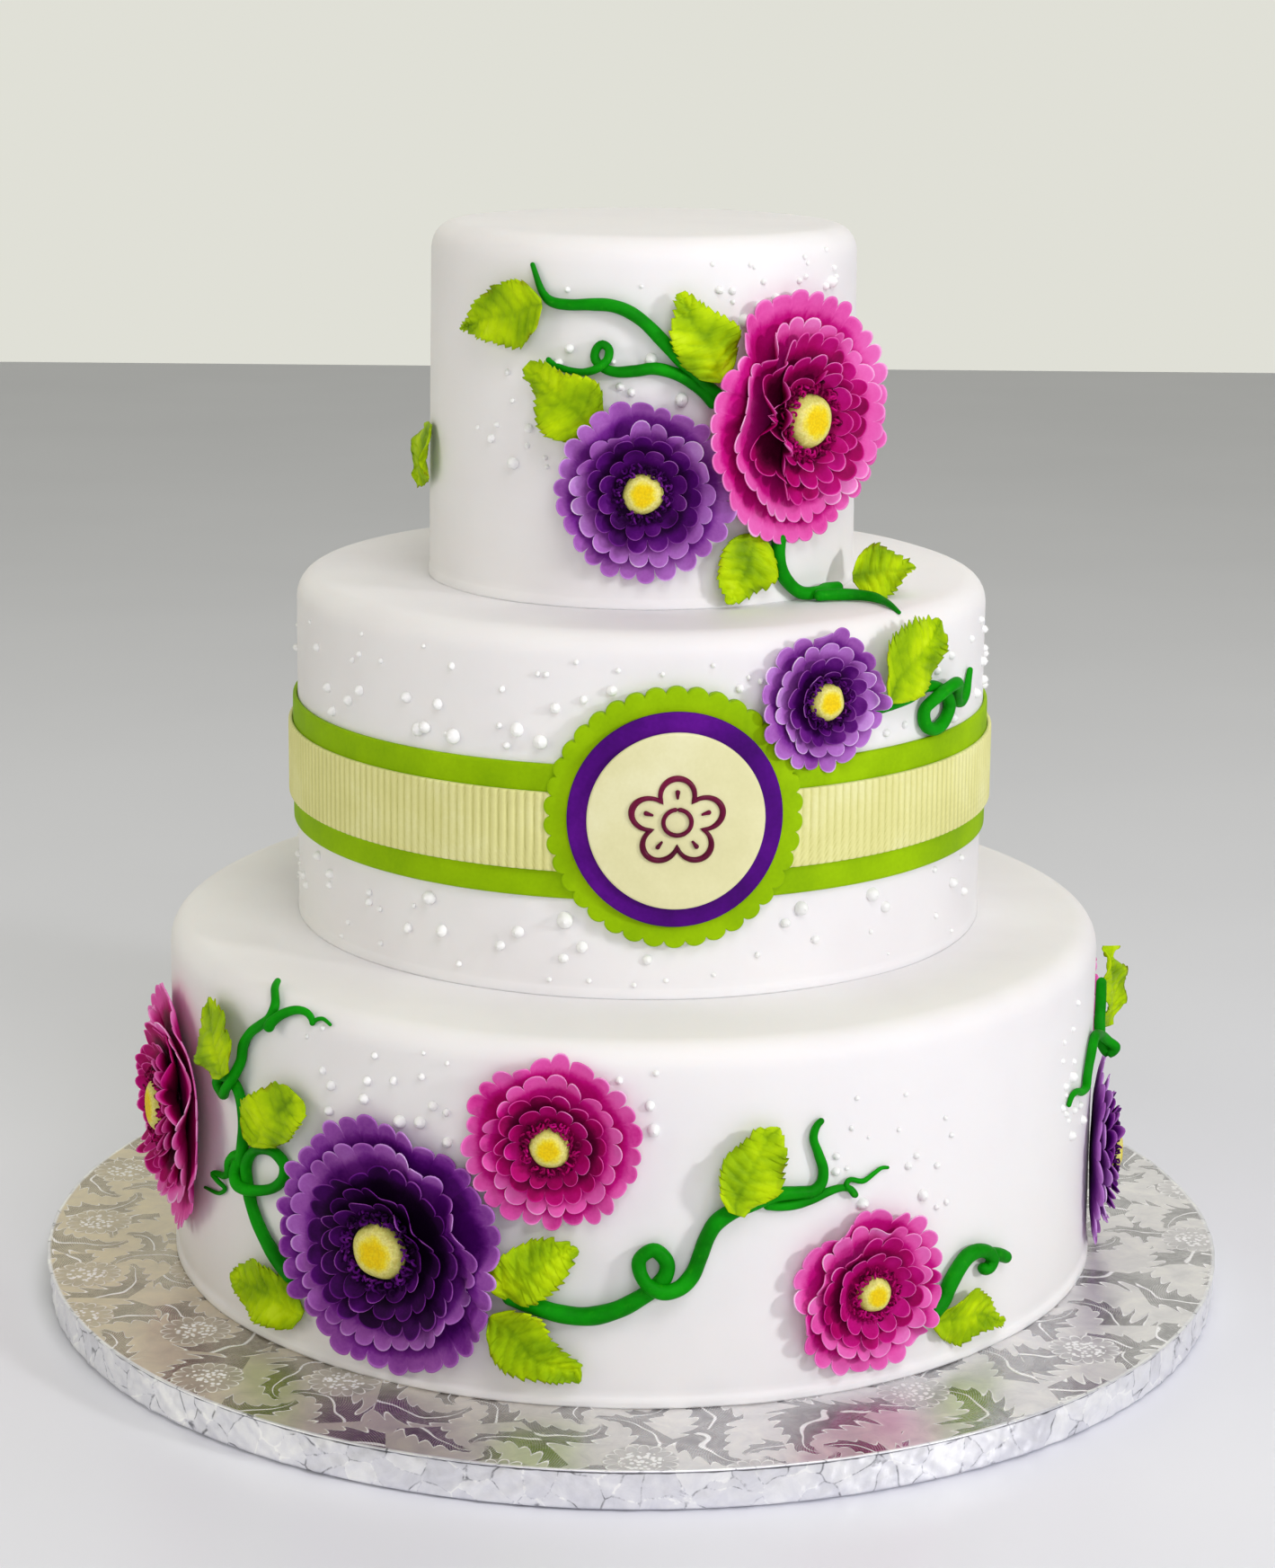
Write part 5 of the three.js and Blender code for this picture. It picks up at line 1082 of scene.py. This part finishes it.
# ---- Vines -----------------------------------------------------------------
# A vine is one or more ropes. Each has a tier, its spots, and the radii it takes in
# equal steps from its first spot to its last. A spot is an angle, a reach and how
# far the rope stands off its rest on the icing. The shown routes were read by eye off
# flattened views of the photo, except that a script's answers placed the loop of "edge".
# "back" and "top_back" are made up.
VINES = {
    "top": [
      ["top", [[19.5, 75.5], [16, 79.5], [12, 85.2], [6, 93.8], [0, 102.3], [-4, 106], [-8, 107.8],
        [-13, 108], [-19, 107.6], [-23.5, 108.4], [-26, 111], [-29.6, 121.5]],
        [2.7, 2.5, 2.4, 2.3, 2.1, 1.9, 0.8]],
      ["top", [[18.5, 72.5], [14.5, 78.5], [9, 83.6], [3, 86.1], [-2, 85.2], [-7, 84.8],
        [-10, 86.2], [-12.1, 89.3], [-11.7, 92.6], [-10.3, 94.2], [-8.7, 92.8], [-8.6, 89.6, 1.5],
        [-10.3, 86.8, 2.9], [-12.8, 85, 1.8], [-15.8, 84.2], [-20, 85], [-23.6, 86.8],
        [-25, 88.6]], [2.4, 2.2, 2, 1.6, 1.5, 1.5, 1.3, 1]],
    ],
    "middle": [
      ["middle", [[37, 98.5], [42, 99.8], [46, 101], [50, 103.7], [53, 102.6], [55.8, 99],
        [57, 94], [55.5, 89.3], [52.5, 87.3], [50, 90.2], [49.8, 95.5], [51.4, 100.2, 3],
        [54.3, 103, 4.2], [57.2, 102.6, 3], [58.9, 98.4, 1], [60.2, 94.3], [62.2, 93.1],
        [64.2, 95.6], [65.4, 100], [66.6, 104.2]],
        [1.8, 1.9, 2.1, 2.4, 2.4, 2.4, 2.3, 2.2, 1.9, 1.5, 1]],
    ],
    "left": [
      ["bottom", [[-48.9, 137.2], [-47.2, 132.6], [-45.1, 127.2], [-45.3, 123.3],
        [-46.8, 120], [-48.9, 115.2], [-50.3, 109.5], [-50.9, 103],
        [-51.4, 97, 2.5], [-52.6, 91.5, 3.4], [-54, 88, 1.5], [-55.4, 87.6], [-56.3, 90],
        [-55.6, 93.2], [-53.6, 94.4], [-51.8, 92.5], [-50.8, 88], [-50.4, 81], [-50.5, 74],
        [-51, 67], [-51.3, 62.5]], [1.2, 1.6, 1.8, 1.9, 1.9, 1.9, 2, 2, 2.1, 2.2, 2.2]],
      ["bottom", [[-51.2, 66, 0.5], [-51.6, 60.5, 1.5], [-50.4, 57.8, 3.2], [-48.8, 57.3, 3.4],
        [-47, 58, 1.5], [-44.9, 60.5], [-43.2, 65.5], [-42.9, 70.5], [-44.4, 73.8],
        [-46.8, 73.6], [-48.9, 70], [-50, 64.5], [-49.8, 58], [-49.2, 52], [-48.2, 46.5],
        [-46.7, 41], [-45, 36.2], [-43.2, 32], [-41.2, 28.6]],
        [2.2, 2.2, 2.1, 2, 2, 2, 2.1, 2.2, 2.4, 2.6, 2.6]],
      ["bottom", [[-45, 119.2, 1.2], [-44.6, 122, 1.2], [-43.5, 125, 0.3], [-41.6, 127.8],
        [-40, 128], [-38.9, 126.4], [-38.6, 124.6]], [2, 1.95, 1.7, 1.5, 1.2, 1]],
      ["bottom", [[-38.8, 125.3], [-38.4, 126.7], [-37.6, 127.6], [-36.1, 126.2]],
        [0.9, 0.8, 0.6]],
      ["bottom", [[-51.2, 67.4], [-52.9, 65.6], [-54.2, 61.6], [-54.4, 57.6], [-55.5, 55.2],
        [-57, 54.4], [-58.3, 53.2, 0.4], [-56.6, 52.2, 1.2], [-55.6, 50.2], [-57, 46.8],
        [-61.6, 44.4]],
        [1.7, 1.6, 1.5, 1.4, 1.2, 1.1, 0.9, 0.8, 0.6]],
    ],
    "centre": [
      ["bottom", [[-14, 41.5], [-11.5, 38.8], [-8, 35.6], [-4.5, 35], [-1.5, 37.6],
        [0.8, 41.6], [2.7, 46], [3.75, 50.5], [3.8, 55], [2.4, 59.2], [0.9, 55.8],
        [1, 51, 0.8], [1.9, 47.4, 3.2], [3.4, 45.3, 3.6], [5.2, 45.9, 1.4], [6.6, 50],
        [7.4, 56.5], [8.1, 63], [9.1, 68.5], [10.9, 72.4], [13.3, 75], [16, 77.2], [18.4, 77],
        [20.2, 76.9], [21.1, 79.4], [21.3, 84], [20.7, 90], [20.1, 96], [20.5, 100],
        [21.3, 102.2]], [3.3, 3.2, 3, 2.5, 2.5, 2.8, 2.9, 2.7, 2, 1.7, 1.1]],
      ["bottom", [[14.4, 73.6], [16.2, 72.6], [18.2, 72.7], [20.2, 73.9], [22, 75.6],
        [23.6, 76.3], [24.7, 75.4], [25.3, 73.4], [25.5, 71.8]],
        [1.7, 1.8, 1.75, 1.5, 1.3, 1.2, 1.1]],
      ["bottom", [[25.2, 72.6, 1.2], [24.6, 75, 1.6], [24.1, 77.4, 1], [24.7, 78.6],
        [26.4, 77.3], [27.8, 79.4], [28.8, 80.8], [29.8, 80.4]],
        [0.9, 1, 0.95, 0.8, 0.6]],
    ],
    "right": [
      ["bottom", [[35.2, 21.5], [37.5, 27], [38.2, 31], [39.5, 36.3], [41.1, 40.3], [42.9, 40.9],
        [44.6, 38.8], [45.5, 35.6], [45, 32.8], [44.1, 33], [43.8, 35]],
        [3, 2.9, 2.8, 2.7, 2.6, 2.4, 2.2]],
      ["bottom", [[44.4, 38.2], [46, 37], [47.4, 35], [48.6, 32.8]], [2.4, 2.5, 2.4]],
    ],
    "edge": [
      ["bottom", [[82, 110], [81.7, 99], [80.9, 91], [80.7, 85.5, 0.8], [80.6, 81.3, 3.8],
        [80.3, 84, 6.6], [79.7, 87, 3.8], [77.5, 91.5, 1.2], [74.5, 93.5], [71.9, 88.5],
        [70.5, 82.5], [70.2, 78.4], [68.3, 78], [66, 80.3], [64.4, 80], [63.4, 76.8]],
        [2.1, 2.1, 2, 1.9, 1.9, 1.7, 1.3, 0.9]],
    ],
    "back": [
      ["bottom", [[196, 92], [190, 104], [180, 112], [168, 108], [160, 96], [150, 94],
        [142, 104], [134, 100]], [2.6, 2.4, 2.2, 1.8, 1.2]],
      ["bottom", [[190, 104], [194, 114], [202, 118], [206, 110]], [1.8, 1.7, 1]],
    ],
    "top_back": [
      ["top", [[-105, 124], [-106, 112], [-112, 100], [-124, 90], [-138, 90], [-152, 80]],
        [1.2, 1.8, 2.1, 2.3, 2.4]],
    ],
}
STEM = [["top", 36.8, 26], ["top", 36.4, 18], ["top", 38, 10.5], ["middle", 40, 168.5, 0.8],
        ["middle", 45.5, 167.5], ["middle", 50, 169.5], ["middle", 54.5, 167.5]]
RUNNER = [["middle", 42, 164.5], ["middle", 46, 161.5], ["middle", 49.5, 156],
          ["middle", 50.6, 150], ["middle", 49.6, 144], ["middle", 48, 138],
          ["middle", 46.8, 131.5]]


def through(points, samples=14):
    """A centripetal Catmull-Rom line through points; columns past the third ride along."""
    points = np.asarray(points)
    padded = np.vstack([2 * points[0] - points[1], points, 2 * points[-1] - points[-2]])
    t = np.linspace(0, 1, samples, endpoint=False)[:, None]
    line = []
    for i in range(len(points) - 1):
        p0, p1, p2, p3 = padded[i:i + 4]
        d0, d1, d2 = (max(np.linalg.norm((q - p)[:3]), 1e-6) ** 0.5
                      for p, q in ((p0, p1), (p1, p2), (p2, p3)))
        m1 = ((p1 - p0) / d0 - (p2 - p0) / (d0 + d1) + (p2 - p1) / d1) * d1
        m2 = ((p2 - p1) / d1 - (p3 - p1) / (d1 + d2) + (p3 - p2) / d2) * d1
        line.append(p1 + m1 * t + (-3 * p1 + 3 * p2 - 2 * m1 - m2) * t ** 2
                    + (2 * p1 - 2 * p2 + m1 + m2) * t ** 3)
    return np.vstack(line + [points[-1:]])


def cord(form, rows, rng, sides=16, step=0.8):
    """A rounded cord through rows of a point, its radius and a point further out."""
    whole = through(rows)
    line, size, lifted = whole[:, :3], whole[:, 3], whole[:, 4:] - whole[:, :3]
    run = np.concatenate([[0], np.cumsum(np.linalg.norm(np.diff(line, axis=0), axis=1))])
    length = run[-1]
    head, tail = size[0], size[-1]
    inner = np.arange(head, length - tail, step)
    cap = 1 - np.cos(np.linspace(0, math.pi / 2, 7))
    place = np.unique(np.round(np.concatenate([head * cap, inner, length - tail * cap]), 4))
    at = np.stack([np.interp(place, run, line[:, k]) for k in range(3)], -1)
    up = np.stack([np.interp(place, run, lifted[:, k]) for k in range(3)], -1)
    ahead = unit(np.gradient(at, place, axis=0))
    side = unit(np.cross(ahead, up))
    up = np.cross(side, ahead)
    wobble = 1 + 0.03 * np.sin(place / 5.3 + rng.uniform(0, 6)) \
        + 0.02 * np.sin(place / 1.9 + rng.uniform(0, 6))
    size = np.interp(place, run, size) * wobble
    for distance, end in ((place, head), (length - place, tail)):
        size = size * np.sqrt(1 - (1 - np.clip(distance / end, 0, 1)) ** 2)
    size = np.maximum(size, 0.02)
    phi = all_round(sides)
    rings = at[:, None] + size[:, None, None] * (
        np.cos(phi)[None, :, None] * side[:, None] + np.sin(phi)[None, :, None] * up[:, None])
    form.skin(rings, at[0], at[-1])


def rope(form, spots, radii, rng):
    """A cord of changing radius laid through spots on the icing."""
    share = np.linspace(0, 1, len(spots))
    radii = np.interp(share, np.linspace(0, 1, len(radii)), radii)
    rows = []
    for (tier, angle, reach, *rise), radius in zip(spots, radii):
        lift = GAP + radius + (rise[0] if rise else 0)
        at, out = (on_icing(tier, angle, reach, height) for height in (lift, lift + 1))
        rows.append(np.concatenate([at, [radius], out]))
    cord(form, rows, rng)


def vine_piece(name, seed):
    form = Form()
    rng = np.random.default_rng(seed)
    for tier, spots, radii in VINES[name]:
        rope(form, [[tier, *spot] for spot in spots], radii, rng)
        for angle, reach, *_ in spots:
            keep_off.append((on_icing(tier, angle, reach), VINE_CLEARANCE))
    form.piece("sugar_vine_" + name, vine_green, "vine_green", "vine_" + name)


def ledge_vine(seed):
    """The vine that comes down the top tier and runs over the middle tier's edge."""
    rng = np.random.default_rng(seed)
    form = Form()
    rope(form, STEM, [2.5, 2.5, 2.4, 2.3], rng)
    rope(form, RUNNER, [2.2, 2.2, 2, 1.7, 1.3, 0.7], rng)
    form.piece("sugar_vine_ledge", vine_green, "vine_green", "vine_ledge")


# ---- Ribbon and plaque -----------------------------------------------------
SCALLOPS, SCALLOP_DEPTH, PLAQUE_RADIUS = 38, 2.3, 46.0
PLAQUE_TOP, RING_TOP, FACE_TOP = 4.1, 6.2, 8.2  # how far each disc's face stands off the wall
RING_SIZE, FACE_SIZE = (36.9, 38.4), (29.9, 31.5)  # half width and half height
RIB_COUNT = 254


def scallop(a):
    """The plaque's outline: rounded scallops with sharp notches between."""
    beat = np.abs(np.sin(SCALLOPS * a / 2))
    return (PLAQUE_RADIUS - SCALLOP_DEPTH * (1 - beat ** 0.55)) * (1.003 - 0.013 * np.cos(2 * a))


def on_plaque(across, up, lift):
    """Points round the plaque's centre: mm to the right, mm up, mm off the icing."""
    return on_icing("middle", PLAQUE_ANGLE + across / per_degree("middle"),
                    PLAQUE_HEIGHT + up, lift)


def cut_angle(height, side):
    """How far round a band is cut away for the plaque, which overlaps its end a little."""
    up = np.asarray(height, float) - PLAQUE_HEIGHT
    across = np.sqrt((PLAQUE_RADIUS - SCALLOP_DEPTH - 1.2) ** 2 - up ** 2)
    return PLAQUE_ANGLE + side * across / per_degree("middle")


def band_piece(name, node, low, high, inside, thick, columns, relief, material, slot):
    """A band round the middle tier, open where the plaque sits."""
    rows = 12
    heights = np.linspace(0.03, 0.97, rows)
    round_in = 0.35 / (high - low)
    outer = [(0.0, 0.35), (round_in * 0.3, 0.75), (round_in, 0.95)]
    outer += [(h, 1.0) for h in heights]
    outer += [(1 - round_in, 0.95), (1 - round_in * 0.3, 0.75), (1.0, 0.35)]
    profile = [(0.0, 0.0)] + outer + [(1.0, 0.0)]
    share = np.linspace(0, 1, columns)
    grid, grooves = [], []
    for up, out in profile:
        height = low + (high - low) * up
        start, end = cut_angle(height, 1), cut_angle(height, -1) + 360
        angle = start + (end - start) * share
        swell = relief(angle) if out > 0.5 else np.ones(columns)
        grid.append(on_icing("middle", angle, height, inside + thick * out * swell))
        grooves.append(smooth(0.9, 0.5, swell))
    grid = np.array(grid)
    groove = np.append(np.array(grooves).T.reshape(-1), [0, 0])
    n_rows = len(profile)
    form = Form()
    points = grid.transpose(1, 0, 2).reshape(-1, 3)  # columns first, so the section closes
    ends = [fan(len(points), np.arange(n_rows)),
            fan(len(points) + 1, (columns - 1) * n_rows + np.arange(n_rows), True)]
    middle_points = np.vstack([grid[:, 0].mean(axis=0), grid[:, -1].mean(axis=0)])
    form.add(np.vstack([points, middle_points]), [strip(columns, n_rows, True)] + ends,
             groove=groove)
    form.piece(name, material, slot, node)


def plain(angle):
    """A nearly even thickness, as a share of the band's own."""
    return 1 + 0.02 * np.sin(np.radians(angle) * 11) + 0.015 * np.sin(np.radians(angle) * 31 + 2)


def ribbed(angle):
    """Rounded upright ribs with sharp grooves between."""
    phase = (angle - PLAQUE_ANGLE) / 360 * RIB_COUNT
    return 0.45 + 0.55 * np.abs(np.sin(math.pi * phase)) ** 0.6


def oval(across, up):
    """The outline of a disc that is a little taller than it is wide."""
    return lambda a: 1 / np.hypot(np.cos(a) / across, np.sin(a) / up)


def bent_disc(name, node, outline, start, end, material, slot, columns, rounding=0.9):
    """A flat disc with a rounded edge, bent round the wall."""
    a = all_round(columns)
    rim = outline(a)
    rings = []
    for share in np.linspace(0.04, 0.9, 12):
        rings.append((rim.mean() * share + (rim - rim.mean()) * share ** 8, end))
    for k in range(6):
        swing = k / 5 * math.pi / 2
        rings.append((rim - rounding * (1 - math.sin(swing)),
                      end - rounding * (1 - math.cos(swing))))
    rings.append((rim, start + 0.35))
    rings.append((rim - 0.3, start))
    points = [on_plaque(r * np.cos(a), r * np.sin(a), lift) for r, lift in rings]
    form = Form()
    form.skin(np.stack(points), on_plaque(0.0, 0.0, end), on_plaque(0.0, 0.0, start), True)
    form.piece(name, material, slot, node)


def plaque_row(across, up, radius):
    """A row for a cord that lies on the plaque's face."""
    return np.concatenate([on_plaque(across, up, FACE_TOP + 0.5), [radius],
                           on_plaque(across, up, FACE_TOP + 1.5)])


def piping_piece():
    """Five piped petals in one closed line round a ring, with a drop in each."""
    form = Form()
    rng = np.random.default_rng(77)
    count, sides = 260, 12
    a = all_round(count)
    r = 8.5 + 7.0 * np.abs(np.cos(2.5 * a)) ** 0.7
    across, up = r * np.sin(a), r * np.cos(a)
    step = unit(np.stack([np.roll(across, -1) - np.roll(across, 1),
                          np.roll(up, -1) - np.roll(up, 1)], -1))
    normal = np.stack([step[:, 1], -step[:, 0]], -1)
    half = 0.72 + 0.38 * np.abs(np.cos(2.5 * a)) + waves(rng, a, (7, 11), 0.06)
    phi = np.linspace(0, math.pi, sides)
    rows = []
    for p in phi:
        rows.append(on_plaque(across + normal[:, 0] * half * np.cos(p),
                              up + normal[:, 1] * half * np.cos(p),
                              FACE_TOP - 0.05 + half * 1.15 * np.sin(p)))
    points = np.vstack(rows)
    last = (sides - 1) * count
    j = np.arange(count)
    k = (j + 1) % count
    base = np.stack([j, k, last + k, last + j], -1)
    form.add(points, [strip(sides, count, flip=True), base])
    drop_line = ((8.2, 0.42), (9.4, 0.6), (10.6, 0.85), (11.6, 0.95))  # mm out, radius
    for petal in range(5):
        way = TURN * petal / 5
        drop = [plaque_row(r * math.sin(way), r * math.cos(way), thick)
                for r, thick in drop_line]
        cord(form, drop, rng, sides=10, step=0.4)
    ring_radius = 4.6
    ring = [plaque_row(ring_radius * math.sin(t), ring_radius * math.cos(t), 0.8)
            for t in np.linspace(0, TURN, 25)]
    cord(form, ring, rng, sides=10, step=0.5)
    form.piece("plaque_piped_motif", burgundy, "burgundy", "plaque_piping")


# ---- Board -----------------------------------------------------------------
BOARD_THICK = 15.0
# Rings down the drum: radius and level of the top sheet's edge, levels of the crumpled
# side, radius and level of the turn under its foot.
SHEET_EDGE = [(228.2, 14.95), (229.0, 14.8), (229.0, 14.35), (227.9, 14.1)]
SIDE_RADIUS = 228.0
SIDE_LEVELS = [13.9, 13.3, 12.3, 11.1, 9.9, 8.7, 7.5, 6.3, 5.1, 3.9, 2.7, 1.7, 0.8]
FOOT_EDGE = [(227.2, 0.2), (225.5, 0.0), (170, 0.0)]
SHEET_GAP = (13.8, 14.2)  # between these levels the side lies in the sheet's shadow, painted on as a darker band


def crumple(rng, a, level, counts, size):
    """Flat facets and sharp creases running aslant round the drum's side."""
    total = 0 * a
    for count in counts:
        slant, phase = rng.uniform(-0.22, 0.22), rng.uniform(0, 1)
        stage = (count * a / TURN + slant * level + phase) % 1
        total = total + rng.uniform(0.5, 1) * np.abs(2 * stage - 1)
    return (total / len(counts) - 0.37) * size


def board_piece():
    """The drum in its foil: a smooth top sheet over a crumpled side."""
    rng = np.random.default_rng(9)
    a = all_round(1440)
    radii = np.concatenate([[120, 160], np.arange(170, 226, 8.0), [226.4, 227.3]])
    r, around = np.meshgrid(radii, a, indexing="ij")
    uneven = 0.16 * np.sin(around * 13 + r / 17) + 0.12 * np.sin(around * 29 - r / 9) \
        + 0.1 * np.sin(around * 47 + r / 5)
    z = BOARD_THICK - 0.25 + uneven * smooth(228, 224, r) * smooth(168, 174, r)
    rings, tops, gaps = [], [], []

    def ring(radius, level, nominal, top=0.0):
        """Adds a ring; its nominal level says whether it lies in the sheet's shadow, which is
        painted on.
        """
        rings.append(np.stack(np.broadcast_arrays(radius * np.cos(a), radius * np.sin(a),
                                                  level), -1))
        tops.append(np.full(len(a), top))
        gaps.append(np.full(len(a), float(SHEET_GAP[0] < nominal < SHEET_GAP[1])))

    for radius, level in zip(radii, z):
        ring(radius, level, BOARD_THICK, 1.0)
    # the top sheet ends in a thin curled edge just proud of the wrapped side
    edge_wave = waves(rng, a, (17, 31, 47, 83, 131), 0.3)
    for radius, level in SHEET_EDGE:
        ring(radius + edge_wave * 0.5, level + edge_wave * 0.3, level)
    bulge = waves(rng, a, (7, 11, 17), 0.25)
    for level in SIDE_LEVELS:
        creases = np.random.default_rng(12)
        fold = crumple(creases, a, level, (67, 89, 113, 149), 1.5)
        fold = fold + crumple(creases, a, level, (211, 283, 347, 431), 0.5)
        swell = 0.3 * math.sin(level / BOARD_THICK * math.pi)
        ring(SIDE_RADIUS + fold + bulge + swell, level, level)
    for radius, level in FOOT_EDGE:
        ring(radius, level, level)
    form = Form()
    form.skin(np.stack(rings), (0, 0, BOARD_THICK - 0.3), (0, 0, 0), True,
              top=np.append(tops, [1, 0]), gap=np.append(gaps, [0, 0]))
    form.piece("foil_board", foil, "foil", "board")


# ---- Camera, light and floor ------------------------------------------------
LAMP_AIM = (0, 0, 0.2)
# Each lamp: name, place, width and height in metres, power in watts, colour.
LAMPS = [
    ("key", (1.61, -1.07, 0.75), (0.22, 0.22), 14.7, (1.0, 0.995, 0.98)),
    ("front", (0.0, -2.0, 0.8), (1.2, 0.9), 8, (1.0, 0.97, 0.97)),
    ("fill", (-1.8, -0.6, 0.8), (1.2, 1.2), 11, (1.0, 0.975, 0.8)),
    ("top", (0.2, 0.1, 1.9), (1.3, 1.3), 8, (1.0, 0.98, 0.85)),
    ("high", (0.5, -1.3, 1.7), (0.9, 0.9), 13.5, (0.985, 0.965, 1.0)),
]


def camera():
    """The camera as fitted to the photo: its focal length and picture size are in pixels."""
    focal, width, height = 3738.573, 1419, 1745
    stand = Vector((0, -1.256624, 0.502153))
    pitch, roll, yaw = (math.radians(v) for v in (13.804, 0.511, 0.037))
    ahead = Vector((math.sin(yaw) * math.cos(pitch), math.cos(yaw) * math.cos(pitch),
                    -math.sin(pitch)))
    right = Vector((math.cos(yaw), -math.sin(yaw), 0))
    up = right.cross(ahead)
    right, up = (right * math.cos(roll) + up * math.sin(roll),
                 up * math.cos(roll) - right * math.sin(roll))
    data = bpy.data.cameras.new("camera")
    data.sensor_width = 36
    data.lens = focal * data.sensor_width / max(width, height)
    data.clip_end = 30
    made = bpy.data.objects.new("camera", data)
    place = Matrix((right, up, -ahead)).transposed().to_4x4()
    place.translation = stand
    made.matrix_world = place
    bpy.context.scene.collection.objects.link(made)
    bpy.context.scene.camera = made


def area_light(name, place, size, power, colour):
    data = bpy.data.lights.new(name, "AREA")
    data.shape = "RECTANGLE"
    data.size, data.size_y = size
    data.energy = power
    data.color = colour
    made = bpy.data.objects.new(name, data)
    made.location = place
    way = Vector(LAMP_AIM) - Vector(place)
    made.rotation_euler = way.to_track_quat("-Z", "Y").to_euler()
    bpy.context.scene.collection.objects.link(made)


def floor():
    finish = Finish("pale floor", Roughness=0.35, IOR=1.4)
    faint = finish.ramp(finish.noise(3, 2), [(0.3, "#e2e3ec"), (0.7, "#e7e8f1")])
    finish.finish(faint)
    size = 3.0
    mesh = bpy.data.meshes.new("floor")
    mesh.from_pydata([(-size, -size, 0), (size, -size, 0), (size, size, 0), (-size, size, 0)],
                     [], [(0, 1, 2, 3)])
    mesh.materials.append(finish.material)
    made = bpy.data.objects.new("floor", mesh)
    made.location.z = -0.0005
    bpy.context.scene.collection.objects.link(made)


def backdrop():
    """A pale world that is brighter behind the cake than in front of it."""
    world = bpy.data.worlds.new("studio")
    world.use_nodes = True
    nodes, links = world.node_tree.nodes, world.node_tree.links
    way = nodes.new("ShaderNodeTexCoord")
    parts = nodes.new("ShaderNodeSeparateXYZ")
    links.new(way.outputs["Generated"], parts.inputs[0])
    back = nodes.new("ShaderNodeMapRange")
    back.interpolation_type = "SMOOTHSTEP"
    for key, value in (("From Min", 0.25), ("From Max", 0.75), ("To Min", 0.12), ("To Max", 0.84)):
        back.inputs[key].default_value = value
    links.new(parts.outputs["Y"], back.inputs["Value"])
    links.new(back.outputs[0], nodes["Background"].inputs["Strength"])
    nodes["Background"].inputs["Color"].default_value = rgb("#f2f2e8")
    bpy.context.scene.world = world


camera()
floor()
for lamp in LAMPS:
    area_light(*lamp)
backdrop()
bpy.context.scene.view_settings.view_transform = "Standard"

# ---- The cake ----------------------------------------------------------------
board_piece()
for index, (tier, lip) in enumerate((("bottom", 1.1), ("middle", 0.4), ("top", 0.4))):
    tier_piece(tier, 20 + index, lip)
for index, name in enumerate(FLOWERS):
    flower_pieces(name, 100 + index)
for index, name in enumerate(LEAVES):
    wall_leaf(name, 200 + index)
ledge_leaf(230)
for index, name in enumerate(VINES):
    vine_piece(name, 300 + index)
ledge_vine(330)
band_piece("lime_ribbon", "ribbon", RIBBON[0], RIBBON[1], GAP, RIBBON[2], 480, plain, lime,
           "lime")
band_piece("ribbed_ribbon", "ribbon_ribs", RIBS[0], RIBS[1], RIBBON[2] + 2 * GAP, RIBS[2],
           6 * RIB_COUNT, ribbed, cream, "cream")
bent_disc("scalloped_plaque", "plaque_scalloped", scallop, 0.45, PLAQUE_TOP, lime, "lime",
          SCALLOPS * 10)
bent_disc("plaque_purple_disc", "plaque_ring", oval(*RING_SIZE), PLAQUE_TOP + 0.4, RING_TOP,
          purple, "plaque_violet", 200)
bent_disc("plaque_cream_disc", "plaque_face", oval(*FACE_SIZE), RING_TOP + 0.4, FACE_TOP,
          cream_face, "cream", 200)
piping_piece()
for tier in TIERS:
    pearls_piece(tier)
